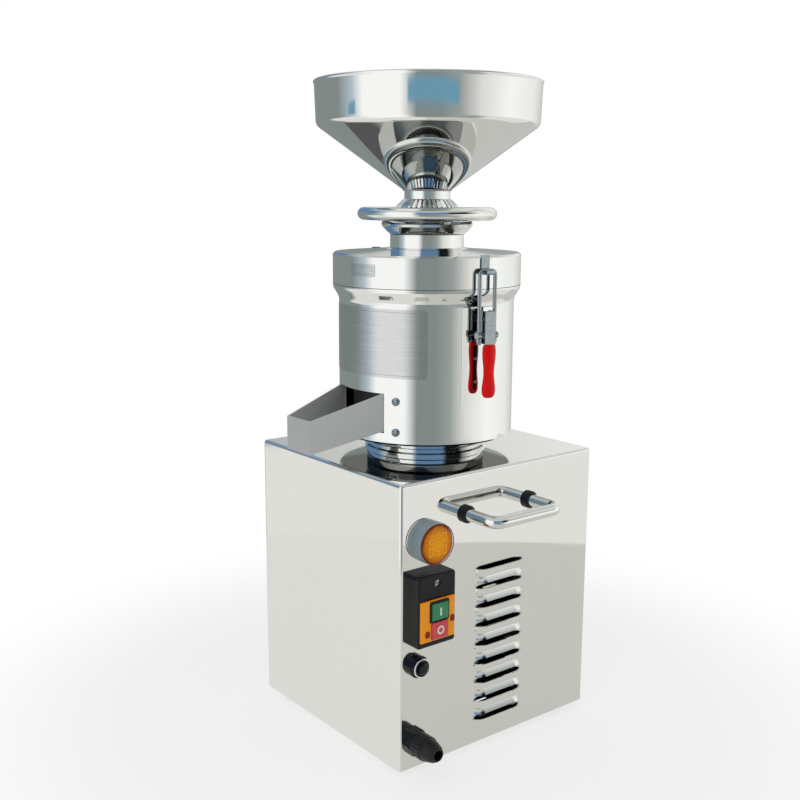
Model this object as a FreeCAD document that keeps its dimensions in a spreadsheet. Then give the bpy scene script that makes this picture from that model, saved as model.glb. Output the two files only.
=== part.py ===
import FreeCAD, Part
import os
import re
import Sketcher

# Nut butter grinder: a vertical motor in a sheet steel cabinet drives a horizontal
# grinding disc in the round chamber above it.  The disc above it hangs on a feed tube,
# which the handwheel screws up and down.  Nuts fall from the hopper through the tube
# to the middle of the discs, and the butter leaves through the open chute at the left.
#
# Frame: origin on the drive axis, on the surface that the feet stand on.
# +Z is up, the control panel faces -Y, and the chute points along -X.  Millimetres.

doc = FreeCAD.newDocument("nut_butter_grinder")

# ---------------------------------------------------------------- driving sizes
driving_sizes = {
    # cabinet
    "foot_height": 10, "foot_radius": 15, "foot_inset": 30,
    "cabinet_width": 260, "cabinet_depth": 245, "cabinet_height": 290,
    "cabinet_sheet": 1.5, "cabinet_bend": 3, "return_flange": 14,
    "base_sheet": 1.5, "base_margin": 2, "vent_length": 90, "vent_width": 5, "vent_pitch": 14,
    "foot_screw_radius": 2.5, "foot_screw_length": 16, "foot_head_radius": 4.8,
    "foot_head_height": 2.8, "foot_nut_radius": 4.6, "foot_nut_height": 4,
    # louvres
    "louvre_length": 66, "louvre_pitch": 20.25, "louvre_drop": 102.2, "louvre_margin": 25,
    "louvre_x": -1.5, "louvre_curve": 14.5, "louvre_stand": 7,
    # carrying handles
    "handle_x": -5, "handle_drop": 41.5, "handle_span": 86, "handle_stand": 42,
    "handle_radius": 6.2, "handle_bend": 11, "handle_foot_radius": 9,
    "handle_foot_height": 5, "handle_stud_radius": 3, "handle_stud_length": 16,
    "handle_nut_radius": 6.4, "handle_nut_height": 5,
    # panel meter
    "meter_in": 35.7, "meter_drop": 60.8, "meter_radius": 20.8, "meter_depth": 10,
    "meter_neck_radius": 11, "meter_neck_length": 26, "lens_radius": 19.6, "lens_depth": 2.6,
    "meter_nut_radius": 15, "meter_nut_height": 4,
    # switch
    "switch_in": 34.4, "switch_drop": 125.5, "switch_width": 47, "switch_height": 72,
    "switch_depth": 14, "switch_corner": 3, "switch_cutout_width": 38,
    "switch_cutout_height": 56, "switch_block_depth": 40,
    "bezel_shift": 1, "bezel_drop": 8.5, "bezel_width": 41.5, "bezel_height": 40.5,
    "bezel_depth": 4, "bezel_chamfer": 1.5, "button_width": 19.5, "button_height": 16.5,
    "button_gap": 2.2, "button_proud": 2.5, "button_length": 15, "button_corner": 2,
    "switch_screw_radius": 3.4, "switch_screw_drop": 9,
    # overload breaker
    "reset_in": 19.5, "reset_drop": 183, "collar_radius": 11.2, "collar_depth": 10,
    "reset_neck_radius": 7.5, "reset_radius": 5.6, "reset_proud": 3, "reset_length": 16,
    "breaker_width": 18, "breaker_height": 34, "breaker_depth": 30,
    # cable gland
    "gland_in": 18, "gland_rise": 28, "gland_hex_radius": 13.6, "gland_hex_depth": 7,
    "gland_neck_radius": 9, "gland_cap_radius": 12.4, "gland_cap_depth": 30,
    "gland_bore_radius": 5, "gland_nut_radius": 13, "gland_nut_height": 5, "gland_seat": 7,
    # motor
    "motor_radius": 66, "motor_wall": 5, "motor_drop": 36.5, "motor_length": 158,
    "stator_rise": 36, "stator_length": 90, "winding_height": 20, "air_gap": 0.5,
    "rotor_core_radius": 36, "bell_drop": 18, "bell_flange_radius": 60,
    "bell_spigot_radius": 29.7, "bell_spigot_height": 7, "bearing_radius": 26,
    "bearing_height": 15, "shaft_radius": 10, "fan_radius": 55, "fan_height": 20,
    "tie_bolt_radius": 2.5, "tie_circle": 56, "tie_hole_depth": 20, "capacitor_radius": 18,
    "capacitor_length": 84, "capacitor_x": 94, "capacitor_y": 0,
    # pedestal and chamber
    "pedestal_radius": 63, "pedestal_height": 17.5, "pedestal_groove": 2.5,
    "chamber_radius": 92.6, "chamber_wall": 4, "chamber_floor": 8, "chamber_height": 143.5,
    "chamber_corner": 1,
    "flare_height": 14, "flare_radius": 99, "flare_lip": 4, "flare_round": 12,
    "register_depth": 6.5, "register_wall": 6,
    "seal_boss_radius": 27, "seal_boss_height": 48, "seal_radius": 20, "seal_height": 10,
    "drive_bolt_radius": 4, "drive_bolt_circle": 45, "drive_bolt_length": 40,
    "drive_head_radius": 6.5, "drive_head_height": 8,
    # chute
    "chute_overhang": 33.5, "chute_root": 86, "chute_sheet": 1.5, "chute_root_half": 37,
    "chute_end_half": 20, "chute_root_step": 5.5, "chute_end_drop": 11.5,
    "chute_root_rise": 44, "chute_end_rise": 22, "mouth_length": 24,
    "chute_tab_width": 15, "chute_screw_radius": 2, "chute_screw_turn": 31.7,
    "low_screw_rise": 5.5, "high_screw_rise": 37, "chute_head_radius": 4,
    "chute_head_height": 2.4,
    # cover
    "cover_height": 32.5, "cover_edge": 2, "cover_dome": 3.5, "cover_wall": 4.5,
    "cover_roof": 7, "neck_radius": 38.7, "neck_height": 14.6, "seal_ring": 2,
    # grinding discs and their carriers
    "disc_radius": 64, "disc_bore": 21.9, "disc_thickness": 18, "disc_gap": 0.6,
    "disc_drop": 63.6, "furrow_count": 12, "furrow_depth": 6, "furrow_width": 8,
    "rim_cut_count": 36, "rim_cut_length": 9, "rim_cut_depth": 0.9,
    "table_radius": 62, "table_thickness": 14, "table_hub_radius": 18, "table_hub_gap": 7.9,
    "blade_count": 3, "blade_thickness": 3, "blade_inner": 30, "blade_step": 56,
    "wall_clearance": 5, "floor_clearance": 2, "blade_step_height": 20,
    "shaft_nut_radius": 11.5, "shaft_nut_height": 9, "shaft_nut_flange": 27,
    "shaft_nut_recess": 8, "shaft_thread_radius": 8,
    "tube_radius": 22, "tube_bore": 18.5, "tube_flange": 8,
    "guide_radius": 3, "guide_circle": 50, "guide_boss_radius": 8,
    # handwheel and lock ring
    "wheel_radius": 73, "wheel_grip": 6.5, "wheel_drop": 2.2, "spoke_count": 3,
    "spoke_width": 12, "spoke_height": 7, "bell_radius": 48, "bell_height": 10.6,
    "hub_radius": 34.5, "hub_rise": 23.6, "spigot_radius": 32, "clip_height": 1.6,
    "clip_radius": 36, "lock_radius": 32.5, "lock_height": 12.5, "lock_bevel": 7,
    "serration_count": 36, "serration_depth": 1.6,
    # hopper
    "hopper_radius": 118, "rim_height": 44, "crease_radius": 115.5, "crease_bend": 9,
    "cone_height": 65,
    "cone_radius": 25, "hopper_sheet": 1.2, "hopper_lip": 2.4,
    "stem_radius": 24, "stem_neck": 9, "stem_bore": 15.5, "stem_plug_length": 28,
    # latches
    "latch_turn": -4.5, "pad_width": 40, "pad_drop": 4, "pad_height": 100, "pad_sheet": 1.5,
    "pivot_out": 104.5, "pivot_drop": 29, "pivot_radius": 2.5, "ear_inner": 2.4,
    "ear_thickness": 1.8, "ear_foot_low": 6, "ear_foot_high": 4, "cheek_inner": 4.4,
    "cheek_thickness": 1.8, "trunnion_drop": 16, "trunnion_in": 0.6, "trunnion_radius": 3.5,
    "trunnion_half": 12.5, "loop_half": 9.5,
    "loop_radius": 2, "loop_length": 63.5, "loop_bend": 4.2, "loop_nut_radius": 2.9,
    "hook_half": 5, "hook_sheet": 1.5, "hook_room": 2.2, "lever_rise": 8.5, "lever_length": 24,
    "grip_gap": 1, "grip_length": 53, "grip_half": 7.5, "grip_thickness": 10,
    "grip_waist": 0.8, "tang_half": 4, "tang_thickness": 2.5, "tang_inset": 8,
    # fits
    "running_fit": 0.05, "sliding_fit": 0.3, "hole_clearance": 0.25, "face_gap": 0.3,
}
sheet = doc.addObject("Spreadsheet::Sheet", "Sizes")
size_names = []


def add_sizes(cells):
    """Write sizes to the sheet: numbers, or formulas that start with an equals sign."""
    for alias, content in cells.items():
        size_names.append(alias)
        row = len(size_names)
        sheet.set(f"A{row}", alias)
        sheet.set(f"B{row}", str(content))
        sheet.setAlias(f"B{row}", alias)
    doc.recompute()


add_sizes(driving_sizes)


# ---------------------------------------------------------------- small helpers
def formula(text):
    """Turn plain size names into references to the sheet's cells."""
    def cell(word):
        return f"Sizes.{word.group(0)}" if word.group(0) in size_names else word.group(0)
    return re.sub(r"[a-z_]+", cell, str(text))


def value(text):
    return float(sheet.evalExpression(formula(text)))


def bind(item, **formulas):
    for name, text in formulas.items():
        item.setExpression(name.replace("__", "."), formula(text))
    return item


turns = {
    "up": FreeCAD.Rotation(),
    "out": FreeCAD.Rotation(FreeCAD.Vector(1, 0, 0), 90),      # local Z becomes -Y
    "back": FreeCAD.Rotation(FreeCAD.Vector(1, 0, 0), -90),    # local Z becomes +Y
    "right": FreeCAD.Rotation(FreeCAD.Vector(0, 1, 0), 90),    # local Z becomes +X
    "left": FreeCAD.Rotation(FreeCAD.Vector(0, 0, 1), 90),     # local Y becomes -X
}


def place(item, x=0, y=0, z=0, turn="up"):
    rotation = turns[turn] if isinstance(turn, str) else turn
    item.Placement = FreeCAD.Placement(FreeCAD.Vector(), rotation)
    return bind(item, Placement__Base__x=x, Placement__Base__y=y, Placement__Base__z=z)


def about_axis(angle):
    return FreeCAD.Rotation(FreeCAD.Vector(0, 0, 1), angle)


def box(name, x, y, z, length, width, height, turn="up"):
    item = doc.addObject("Part::Box", name)
    bind(item, Length=length, Width=width, Height=height)
    return place(item, x, y, z, turn)


def middle_box(name, x, y, z, length, width, height):
    """A box that is centred on x and y, and starts at z."""
    return box(name, f"{x} - ({length}) / 2", f"{y} - ({width}) / 2", z, length, width, height)


def rod(name, radius, height, x=0, y=0, z=0, turn="up"):
    item = doc.addObject("Part::Cylinder", name)
    bind(item, Radius=radius, Height=height)
    return place(item, x, y, z, turn)


def hexagon(name, radius, height, x=0, y=0, z=0, turn="up"):
    item = doc.addObject("Part::Prism", name)
    item.Polygon = 6
    bind(item, Circumradius=radius, Height=height)
    return place(item, x, y, z, turn)


def ball(name, radius, x=0, y=0, z=0):
    return place(bind(doc.addObject("Part::Sphere", name), Radius=radius), x, y, z)


def elbow(name, bend, radius, sweep, x, y, z, turn):
    item = doc.addObject("Part::Torus", name)
    bind(item, Radius1=bend, Radius2=radius, Angle3=sweep)
    return place(item, x, y, z, turn)


def wedge(name, root, end, length, x, y, z, turn):
    """A block along local Y whose cross-section, (low X, high X, low Z, high Z), changes."""
    item = doc.addObject("Part::Wedge", name)
    bind(item, Xmin=root[0], Xmax=root[1], Zmin=root[2], Zmax=root[3], Ymin=0, Ymax=length)
    bind(item, X2min=end[0], X2max=end[1], Z2min=end[2], Z2max=end[3])
    return place(item, x, y, z, turn)


def joined(name, items):
    item = doc.addObject("Part::MultiFuse", name)
    item.Shapes = items
    item.Refine = True
    return item


def group(name, items):
    item = doc.addObject("Part::Compound", name)
    item.Links = items
    return item


def cut(name, base, *tools):
    item = doc.addObject("Part::Cut", name)
    item.Base = base
    item.Tool = tools[0] if len(tools) == 1 else group(name + "_tools", list(tools))
    item.Refine = True
    return item


def shared(name, *items):
    item = doc.addObject("Part::MultiCommon", name)
    item.Shapes = list(items)
    return item


def sketch_on(body, name, plane, corners, offset=0):
    """A closed outline of straight edges whose corners are bound to the sizes."""
    sketch = body.newObject("Sketcher::SketchObject", name)
    support = [item for item in body.Origin.OriginFeatures if item.Role == plane][0]
    sketch.AttachmentSupport = (support, [""])
    sketch.MapMode = "FlatFace"
    bind(sketch, AttachmentOffset__Base__z=offset)
    spots = [FreeCAD.Vector(value(across), value(up), 0) for across, up in corners]
    for index, spot in enumerate(spots):
        sketch.addGeometry(Part.LineSegment(spot, spots[(index + 1) % len(spots)]), False)
    for index in range(len(spots)):
        following = (index + 1) % len(spots)
        sketch.addConstraint(Sketcher.Constraint("Coincident", index, 2, following, 1))
    for index, (across, up) in enumerate(corners):
        for kind, axis, text, size in (("DistanceX", -2, across, spots[index].x),
                                       ("DistanceY", -1, up, spots[index].y)):
            if str(text) == "0":
                sketch.addConstraint(Sketcher.Constraint("PointOnObject", index, 1, axis))
                continue
            spot = sketch.addConstraint(Sketcher.Constraint(kind, -1, 1, index, 1, size))
            sketch.setExpression(f"Constraints[{spot}]", formula(text))
    return sketch


def turned(name, corners):
    """A solid of revolution about Z, from corners given as (radius, height)."""
    body = doc.addObject("PartDesign::Body", name)
    profile = sketch_on(body, name + "_profile", "XZ_Plane", corners)
    solid = body.newObject("PartDesign::Revolution", name + "_turned")
    solid.Profile = profile
    solid.ReferenceAxis = (profile, ["V_Axis"])
    solid.Angle = 360
    body.Tip = solid
    return body


def extruded(name, plane, corners, start, length):
    body = doc.addObject("PartDesign::Body", name)
    profile = sketch_on(body, name + "_profile", plane, corners, start)
    solid = body.newObject("PartDesign::Pad", name + "_pad")
    solid.Profile = profile
    bind(solid, Length=length)
    body.Tip = solid
    return body


def block_body(name, x, y, z, length, width, height):
    """A body that starts as a block, to be rounded, bevelled or hollowed."""
    body = doc.addObject("PartDesign::Body", name)
    block = body.newObject("PartDesign::AdditiveBox", name + "_block")
    bind(block, Length=length, Width=width, Height=height)
    place(block, x, y, z)
    body.Tip = block
    return body


def dressed(body, kind, size, chosen):
    """Round (Fillet) or bevel (Chamfer) the edges of a body that the test chooses."""
    doc.recompute()
    base = body.Tip
    edges = [f"Edge{count}" for count, edge in enumerate(base.Shape.Edges, 1) if chosen(edge)]
    if not edges:
        raise ValueError(f"{body.Name}: no edge to dress")
    dressing = body.newObject("PartDesign::" + kind, f"{body.Name}_{kind.lower()}_{len(edges)}")
    dressing.Base = (base, edges)
    bind(dressing, **{"Radius" if kind == "Fillet" else "Size": size})
    body.Tip = dressing
    return body


def lies_at(edge, height):
    """Whether the edge lies level at this height."""
    box = edge.BoundBox
    return max(abs(box.ZMin - value(height)), abs(box.ZMax - value(height))) < 0.1


def around(count, start=0):
    return [start + 360 * index / int(value(count)) for index in range(int(value(count)))]


def on_circle(radius, angle):
    return f"({radius}) * cos({angle})", f"({radius}) * sin({angle})"


parts = []


def named(item, label):
    """Keep the item as a sub-part of the product, under its label."""
    item.Label = label
    parts.append(item)
    return item


# ---------------------------------------------------------------- heights that follow
cabinet_top = "(foot_height + cabinet_height)"
under_top = f"({cabinet_top} - cabinet_sheet)"
front = "(-cabinet_depth / 2)"
rear = "(cabinet_depth / 2)"
chamber_bottom = f"({cabinet_top} + pedestal_height)"
floor_top = f"({chamber_bottom} + chamber_floor)"
flare_bottom = f"({chamber_bottom} + chamber_height)"
split = f"({flare_bottom} + flare_height)"
cover_top = f"({split} + cover_height)"
roof_top = f"({cover_top} + cover_dome)"
neck_top = f"({roof_top} + neck_height)"
roof_bottom = f"({roof_top} - cover_roof)"
boss_top = f"({chamber_bottom} + seal_boss_height)"
chamber_inside = "(chamber_radius - chamber_wall)"
add_sizes({
    # control panel and handles, from the top and the left edge of the cabinet
    "louvre_top": f"={cabinet_top} - louvre_drop",
    "handle_z": f"={cabinet_top} - handle_drop",
    "meter_x": "=meter_in - cabinet_width / 2",
    "meter_z": f"={cabinet_top} - meter_drop",
    "switch_x": "=switch_in - cabinet_width / 2",
    "switch_z": f"={cabinet_top} - switch_drop",
    "bezel_x": "=switch_x - bezel_shift",
    "bezel_z": "=switch_z - bezel_drop",
    "reset_x": "=reset_in - cabinet_width / 2",
    "reset_z": f"={cabinet_top} - reset_drop",
    "gland_x": "=gland_in - cabinet_width / 2",
    "gland_z": "=foot_height + gland_rise",
    # motor, from the underside of the cabinet's top
    "motor_top": f"={under_top} - motor_drop",
    "motor_bottom": "=motor_top - motor_length",
    "stator_bottom": "=motor_bottom + stator_rise",
    # chute, from the floor of the chamber
    "chute_reach": "=cabinet_width / 2 + chute_overhang",
    "chute_root_floor": f"={floor_top} + chute_root_step",
    "chute_end_floor": f"={floor_top} - chute_end_drop",
    "chute_root_top": f"={floor_top} + chute_root_rise",
    "chute_end_top": f"={floor_top} + chute_end_rise",
    "chute_screw_low": f"={floor_top} + low_screw_rise",
    "chute_screw_high": f"={floor_top} + high_screw_rise",
    # discs, from the split between chamber and cover
    "lower_disc_bottom": f"={split} - disc_drop",
    "table_hub_bottom": f"={boss_top} + table_hub_gap",
    # handwheel, lock ring and hopper, from the top of the cover's neck
    "hub_top": f"={neck_top} + hub_rise",
    "wheel_height": "=hub_top - wheel_drop",
    "tube_top": "=hub_top + face_gap + lock_height",
    "cone_bottom": "=tube_top + stem_neck",
    "crease_height": "=cone_bottom + cone_height",
    "hopper_top": "=crease_height + rim_height",
    # latches, from the flare and the split
    "pad_top": f"={flare_bottom} - pad_drop",
    "pad_bottom": "=pad_top - pad_height",
    "pivot_height": f"={split} - pivot_drop",
    "lever_bottom": "=pivot_height - lever_length",
    "grip_top": "=lever_bottom - grip_gap",
    "grip_bottom": "=grip_top - grip_length",
})
lower_disc_top = "(lower_disc_bottom + disc_thickness)"
nut_seat = f"({lower_disc_top} - shaft_nut_recess)"
upper_disc_bottom = f"({lower_disc_top} + disc_gap)"
carriage_bottom = f"({upper_disc_bottom} + disc_thickness)"
flange_top = f"({carriage_bottom} + tube_flange)"
table_bottom = "(lower_disc_bottom - table_thickness)"
hub_bottom = f"({neck_top} + face_gap)"


# ---------------------------------------------------------------- cabinet
def bent_block(name, inset, bend):
    """A block with rounded bends everywhere but at its bottom."""
    body = block_body(name, f"{inset} - cabinet_width / 2", f"{inset} - cabinet_depth / 2",
                      "foot_height", f"cabinet_width - 2 * {inset}",
                      f"cabinet_depth - 2 * {inset}", f"cabinet_height - {inset}")
    bottom = value("foot_height")
    return dressed(body, "Fillet", bend, lambda edge: edge.BoundBox.ZMax > bottom + 1)


def cabinet_blank(name):
    """The folded box of sheet steel, open at the bottom."""
    return cut(name, bent_block(name + "_outside", 0, "cabinet_bend"),
               bent_block(name + "_inside", "cabinet_sheet", "cabinet_bend - cabinet_sheet"))


def return_flanges(name):
    """The inward flange round the open bottom, which the base plate is screwed to."""
    height = "foot_height + base_sheet"
    inner_width = "cabinet_width - 2 * cabinet_sheet"
    inner_depth = "cabinet_depth - 2 * cabinet_sheet"
    outside = middle_box(name + "_outside", 0, 0, height, inner_width, inner_depth, "cabinet_sheet")
    inside = middle_box(name + "_inside", 0, 0, height, f"{inner_width} - 2 * return_flange",
                        f"{inner_depth} - 2 * return_flange", "cabinet_sheet")
    return cut(name, outside, inside)


def foot_places():
    reach_x = "(cabinet_width / 2 - foot_inset)"
    reach_y = "(cabinet_depth / 2 - foot_inset)"
    return [(f"{sx} * {reach_x}", f"{sy} * {reach_y}") for sx in (-1, 1) for sy in (-1, 1)]


def foot_tabs(name):
    """Corner tabs of the return flange, which carry the foot screws."""
    size = "(foot_inset + foot_radius - cabinet_sheet)"
    tabs = []
    for sx in (-1, 1):
        for sy in (-1, 1):
            x = f"{sx} * (cabinet_width / 2 - cabinet_sheet - {size} / 2)"
            y = f"{sy} * (cabinet_depth / 2 - cabinet_sheet - {size} / 2)"
            tabs.append(middle_box(f"{name}_{len(tabs)}", x, y, "foot_height + base_sheet",
                                   size, size, "cabinet_sheet"))
    return tabs


def louvre_rows():
    """As many rows as the panel has room for below the first."""
    room = value("louvre_top - foot_height - louvre_margin")
    return [f"(louvre_top - {index} * louvre_pitch)"
            for index in range(int(room / value("louvre_pitch")) + 1)]


def louvre_forms(name, curve):
    """Rods with ball ends; the part of each that stands out of the panel is a hood."""
    forms = []
    deep = f"({front} + louvre_curve - louvre_stand)"
    inset = "sqrt(louvre_curve ^ 2 - (louvre_curve - louvre_stand) ^ 2)"
    half = f"(louvre_length / 2 - {inset})"
    for index, height in enumerate(louvre_rows()):
        forms.append(rod(f"{name}_rod_{index}", curve, f"2 * {half}", f"louvre_x - {half}",
                         deep, height, "right"))
        for side in (-1, 1):
            forms.append(ball(f"{name}_ball_{index}_{side + 1}", curve,
                              f"louvre_x + {side} * {half}", deep, height))
    return forms


def louvre_windows(name, y, depth):
    """One box for each louvre, from its open top edge down."""
    return [box(f"{name}_{index}", "louvre_x - louvre_length / 2", y,
                f"{height} - louvre_curve", "louvre_length", depth, "louvre_curve")
            for index, height in enumerate(louvre_rows())]


def panel_holes():
    """The cut-outs of the control panel and the handles."""
    through = "4 * cabinet_sheet"
    outside = f"({front} - cabinet_sheet)"
    holes = [
        rod("meter_hole", "meter_neck_radius + hole_clearance", through,
            "meter_x", f"{outside} + {through}", "meter_z", "out"),
        middle_box("switch_hole", "switch_x", f"{outside} + {through} / 2",
                   "switch_z - switch_cutout_height / 2 - hole_clearance",
                   "switch_cutout_width + 2 * hole_clearance", through,
                   "switch_cutout_height + 2 * hole_clearance"),
        rod("reset_hole", "reset_neck_radius + hole_clearance", through,
            "reset_x", f"{outside} + {through}", "reset_z", "out"),
        rod("gland_hole", "gland_neck_radius + hole_clearance", through,
            "gland_x", f"{outside} + {through}", "gland_z", "out"),
    ]
    for side in (-1, 1):
        for wall, face in (("front", outside), ("rear", f"({rear} - 3 * cabinet_sheet)")):
            holes.append(rod(f"{wall}_stud_hole_{side + 1}", "handle_stud_radius + hole_clearance",
                             through, f"handle_x + {side} * handle_span / 2",
                             f"{face} + {through}", "handle_z", "out"))
    return holes


def top_holes():
    through = "4 * cabinet_sheet"
    start = f"{cabinet_top} - 3 * cabinet_sheet"
    holes = [rod("spigot_hole", "bell_spigot_radius + sliding_fit", through, z=start)]
    for index, angle in enumerate(around(4, 45)):
        x, y = on_circle("drive_bolt_circle", angle)
        holes.append(rod(f"drive_hole_{index}", "drive_bolt_radius + hole_clearance",
                         through, x, y, start))
    return holes


def foot_holes(name, z, height):
    return [rod(f"{name}_{index}", "foot_screw_radius + hole_clearance", height, x, y, z)
            for index, (x, y) in enumerate(foot_places())]


def make_cabinet():
    inner_forms = joined("louvre_inside", louvre_forms("inside", "louvre_curve - cabinet_sheet"))
    outer_forms = joined("louvre_outside", louvre_forms("outside", "louvre_curve"))
    in_front = joined("louvre_front", louvre_windows("hood_window", f"{front} - louvre_stand - 1",
                                                     "louvre_stand + 1 + cabinet_sheet / 2"))
    in_sheet = joined("louvre_slots", louvre_windows("slot_window", f"{front} - 1",
                                                     "4 * cabinet_sheet"))
    hoods = shared("louvre_hoods", cut("louvre_skins", outer_forms, inner_forms), in_front)
    slots = shared("louvre_slot_forms", inner_forms, in_sheet)
    folded = joined("cabinet_folded", [cabinet_blank("cabinet_blank"),
                                       return_flanges("return_flanges"), *foot_tabs("foot_tab")])
    opened = cut("cabinet_opened", folded, slots, *panel_holes(), *top_holes(),
                 *foot_holes("flange_hole", "foot_height", "4 * base_sheet"))
    named(joined("cabinet", [opened, hoods]), "cabinet_shell")


def make_base():
    plate = middle_box("base_blank", 0, 0, "foot_height", "cabinet_width - 2 * base_margin",
                       "cabinet_depth - 2 * base_margin", "base_sheet")
    vents = [middle_box(f"base_vent_{index}", 0, f"{index - 4} * vent_pitch", "foot_height - 1",
                        "vent_length", "vent_width", "base_sheet + 2") for index in range(9)]
    holes = foot_holes("base_hole", "foot_height - 1", "base_sheet + 2")
    named(cut("base", plate, *vents, *holes), "base_plate")


def make_feet():
    head_room = "foot_height / 2"
    foot = [("foot_screw_radius + hole_clearance", head_room),
            ("foot_head_radius + 1", head_room), ("foot_head_radius + 1", 0),
            ("foot_radius - 2.5", 0), ("foot_radius", "foot_height"),
            ("foot_screw_radius + hole_clearance", "foot_height")]
    feet = []
    screws = []
    for index, (x, y) in enumerate(foot_places()):
        feet.append(place(turned(f"foot_{index}", foot), x, y, 0))
        head = rod(f"foot_head_{index}", "foot_head_radius", "foot_head_height", x, y,
                   f"{head_room} - foot_head_height")
        shank = rod(f"foot_shank_{index}", "foot_screw_radius", "foot_screw_length", x, y,
                    head_room)
        flange = "foot_height + base_sheet + cabinet_sheet"
        nut = cut(f"foot_nut_{index}", hexagon(f"foot_hex_{index}", "foot_nut_radius",
                                               "foot_nut_height", x, y, flange),
                  rod(f"foot_nut_bore_{index}", "foot_screw_radius", "foot_nut_height", x, y,
                      flange))
        screws += [joined(f"foot_screw_{index}", [head, shank]), nut]
    named(group("feet", feet), "rubber_feet")
    named(group("foot_fasteners", screws), "foot_screws")


def make_handle(label, side):
    """A bow handle: two legs, two bends and a bar, with a stud in each leg's end.

    side is -1 at the front and 1 at the rear."""
    wall = front if side < 0 else rear
    turn = "out" if side < 0 else "back"
    foot_face = f"({wall} + {side} * handle_foot_height)"
    leg = "handle_stand - handle_foot_height - handle_bend"
    reach = f"({wall} + {side} * (handle_stand - handle_bend))"
    pieces = []
    for index, end in enumerate((-1, 1)):
        x = f"(handle_x + {end} * handle_span / 2)"
        pieces.append(rod(f"{label}_leg_{index}", "handle_radius", leg, x, foot_face, "handle_z",
                          turn))
        pieces.append(rod(f"{label}_stud_{index}", "handle_stud_radius",
                          "handle_stud_length + handle_foot_height", x,
                          f"{wall} - {side} * handle_stud_length", "handle_z", turn))
        start = {(-1, -1): 180, (-1, 1): 270, (1, -1): 90, (1, 1): 0}[(side, end)]
        pieces.append(elbow(f"{label}_bend_{index}", "handle_bend", "handle_radius", 90,
                            f"{x} - {end} * handle_bend", reach, "handle_z", about_axis(start)))
    pieces.append(rod(f"{label}_bar", "handle_radius", "handle_span - 2 * handle_bend",
                      "handle_x - handle_span / 2 + handle_bend",
                      f"{wall} + {side} * handle_stand", "handle_z", "right"))
    named(joined(label + "_bow", pieces), label)


def make_handle_fixings():
    feet = []
    nuts = []
    for side, wall, turn in ((-1, front, "out"), (1, rear, "back")):
        inside = f"({wall} - {side} * (cabinet_sheet + handle_nut_height))"
        for index, end in enumerate((-1, 1)):
            x = f"(handle_x + {end} * handle_span / 2)"
            tag = f"{side + 1}_{index}"
            feet.append(place(turned(f"handle_foot_{tag}", [
                ("handle_stud_radius + running_fit", 0), ("handle_foot_radius", 0),
                ("handle_foot_radius", "handle_foot_height - 1.5"),
                ("handle_foot_radius - 1.5", "handle_foot_height"),
                ("handle_stud_radius + running_fit", "handle_foot_height")]),
                x, wall, "handle_z", turn))
            nuts.append(cut(f"handle_nut_{tag}",
                            hexagon(f"handle_hex_{tag}", "handle_nut_radius",
                                    "handle_nut_height", x, inside, "handle_z", turn),
                            rod(f"handle_nut_bore_{tag}", "handle_stud_radius",
                                "handle_nut_height", x, inside, "handle_z", turn)))
    named(group("handle_feet_set", feet), "handle_feet")
    named(group("handle_nut_set", nuts), "handle_nuts")


# ---------------------------------------------------------------- control panel
def make_meter():
    body = turned("meter_case", [
        (0, "-meter_neck_length"), ("meter_neck_radius", "-meter_neck_length"),
        ("meter_neck_radius", 0), ("meter_radius", 0),
        ("meter_radius", "meter_depth - 1"), ("meter_radius - 1", "meter_depth"),
        ("lens_radius + running_fit", "meter_depth"),
        ("lens_radius + running_fit", "meter_depth - 3"), (0, "meter_depth - 3")])
    named(place(body, "meter_x", front, "meter_z", "out"), "meter_body")
    lens = turned("meter_window", [
        (0, "meter_depth - 3"), ("lens_radius", "meter_depth - 3"),
        ("lens_radius", "meter_depth + 0.6"), ("lens_radius - 3", "meter_depth + lens_depth - 0.8"),
        ("lens_radius / 2", "meter_depth + lens_depth - 0.2"), (0, "meter_depth + lens_depth")])
    named(place(lens, "meter_x", front, "meter_z", "out"), "meter_lens")


def make_switch():
    """A surface switch box: black housing, raised bezel, I and O push buttons."""
    body = block_body("switch_case", "switch_x - switch_width / 2", f"{front} - switch_depth",
                      "switch_z - switch_height / 2", "switch_width", "switch_depth",
                      "switch_height")
    wall = value(front)
    dressed(body, "Fillet", "switch_corner", lambda edge: edge.BoundBox.YMin < wall - 1)
    well = middle_box("button_well", "bezel_x", f"{front} - switch_depth / 2",
                      "bezel_z - button_height - button_gap / 2 - 2",
                      "button_width + 4", "switch_depth + 2", "2 * button_height + button_gap + 4")
    screw_z = "switch_z + switch_height / 2 - switch_screw_drop"
    seat = rod("switch_screw_seat", "switch_screw_radius + hole_clearance", "switch_depth / 2",
               "switch_x", f"{front} - switch_depth / 2", screw_z, "out")
    hole = rod("switch_screw_hole", "switch_screw_radius / 2 + hole_clearance", "switch_depth",
               "switch_x", front, screw_z, "out")
    named(cut("switch_housing", body, well, seat, hole), "switch_box")
    head = rod("switch_screw_head", "switch_screw_radius", "switch_depth / 2 - 1.2", "switch_x",
               f"{front} - switch_depth / 2", screw_z, "out")
    shank = rod("switch_screw_shank", "switch_screw_radius / 2", "switch_depth / 2", "switch_x",
                front, screw_z, "out")
    slot = middle_box("switch_screw_slot", "switch_x", f"{front} - switch_depth + 1.2",
                      f"{screw_z} - 0.5", "3 * switch_screw_radius", 2, 1)
    named(cut("switch_screw_cut", joined("switch_screw_blank", [head, shank]), slot),
          "switch_screw")
    named(middle_box("switch_contacts", "switch_x", f"{front} + switch_block_depth / 2",
                     "switch_z - switch_cutout_height / 2", "switch_cutout_width",
                     "switch_block_depth", "switch_cutout_height"), "switch_block")


def button_rows():
    step = "(button_height + button_gap) / 2"
    return (("start_button", f"(bezel_z + {step})"), ("stop_button", f"(bezel_z - {step})"))


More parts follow.
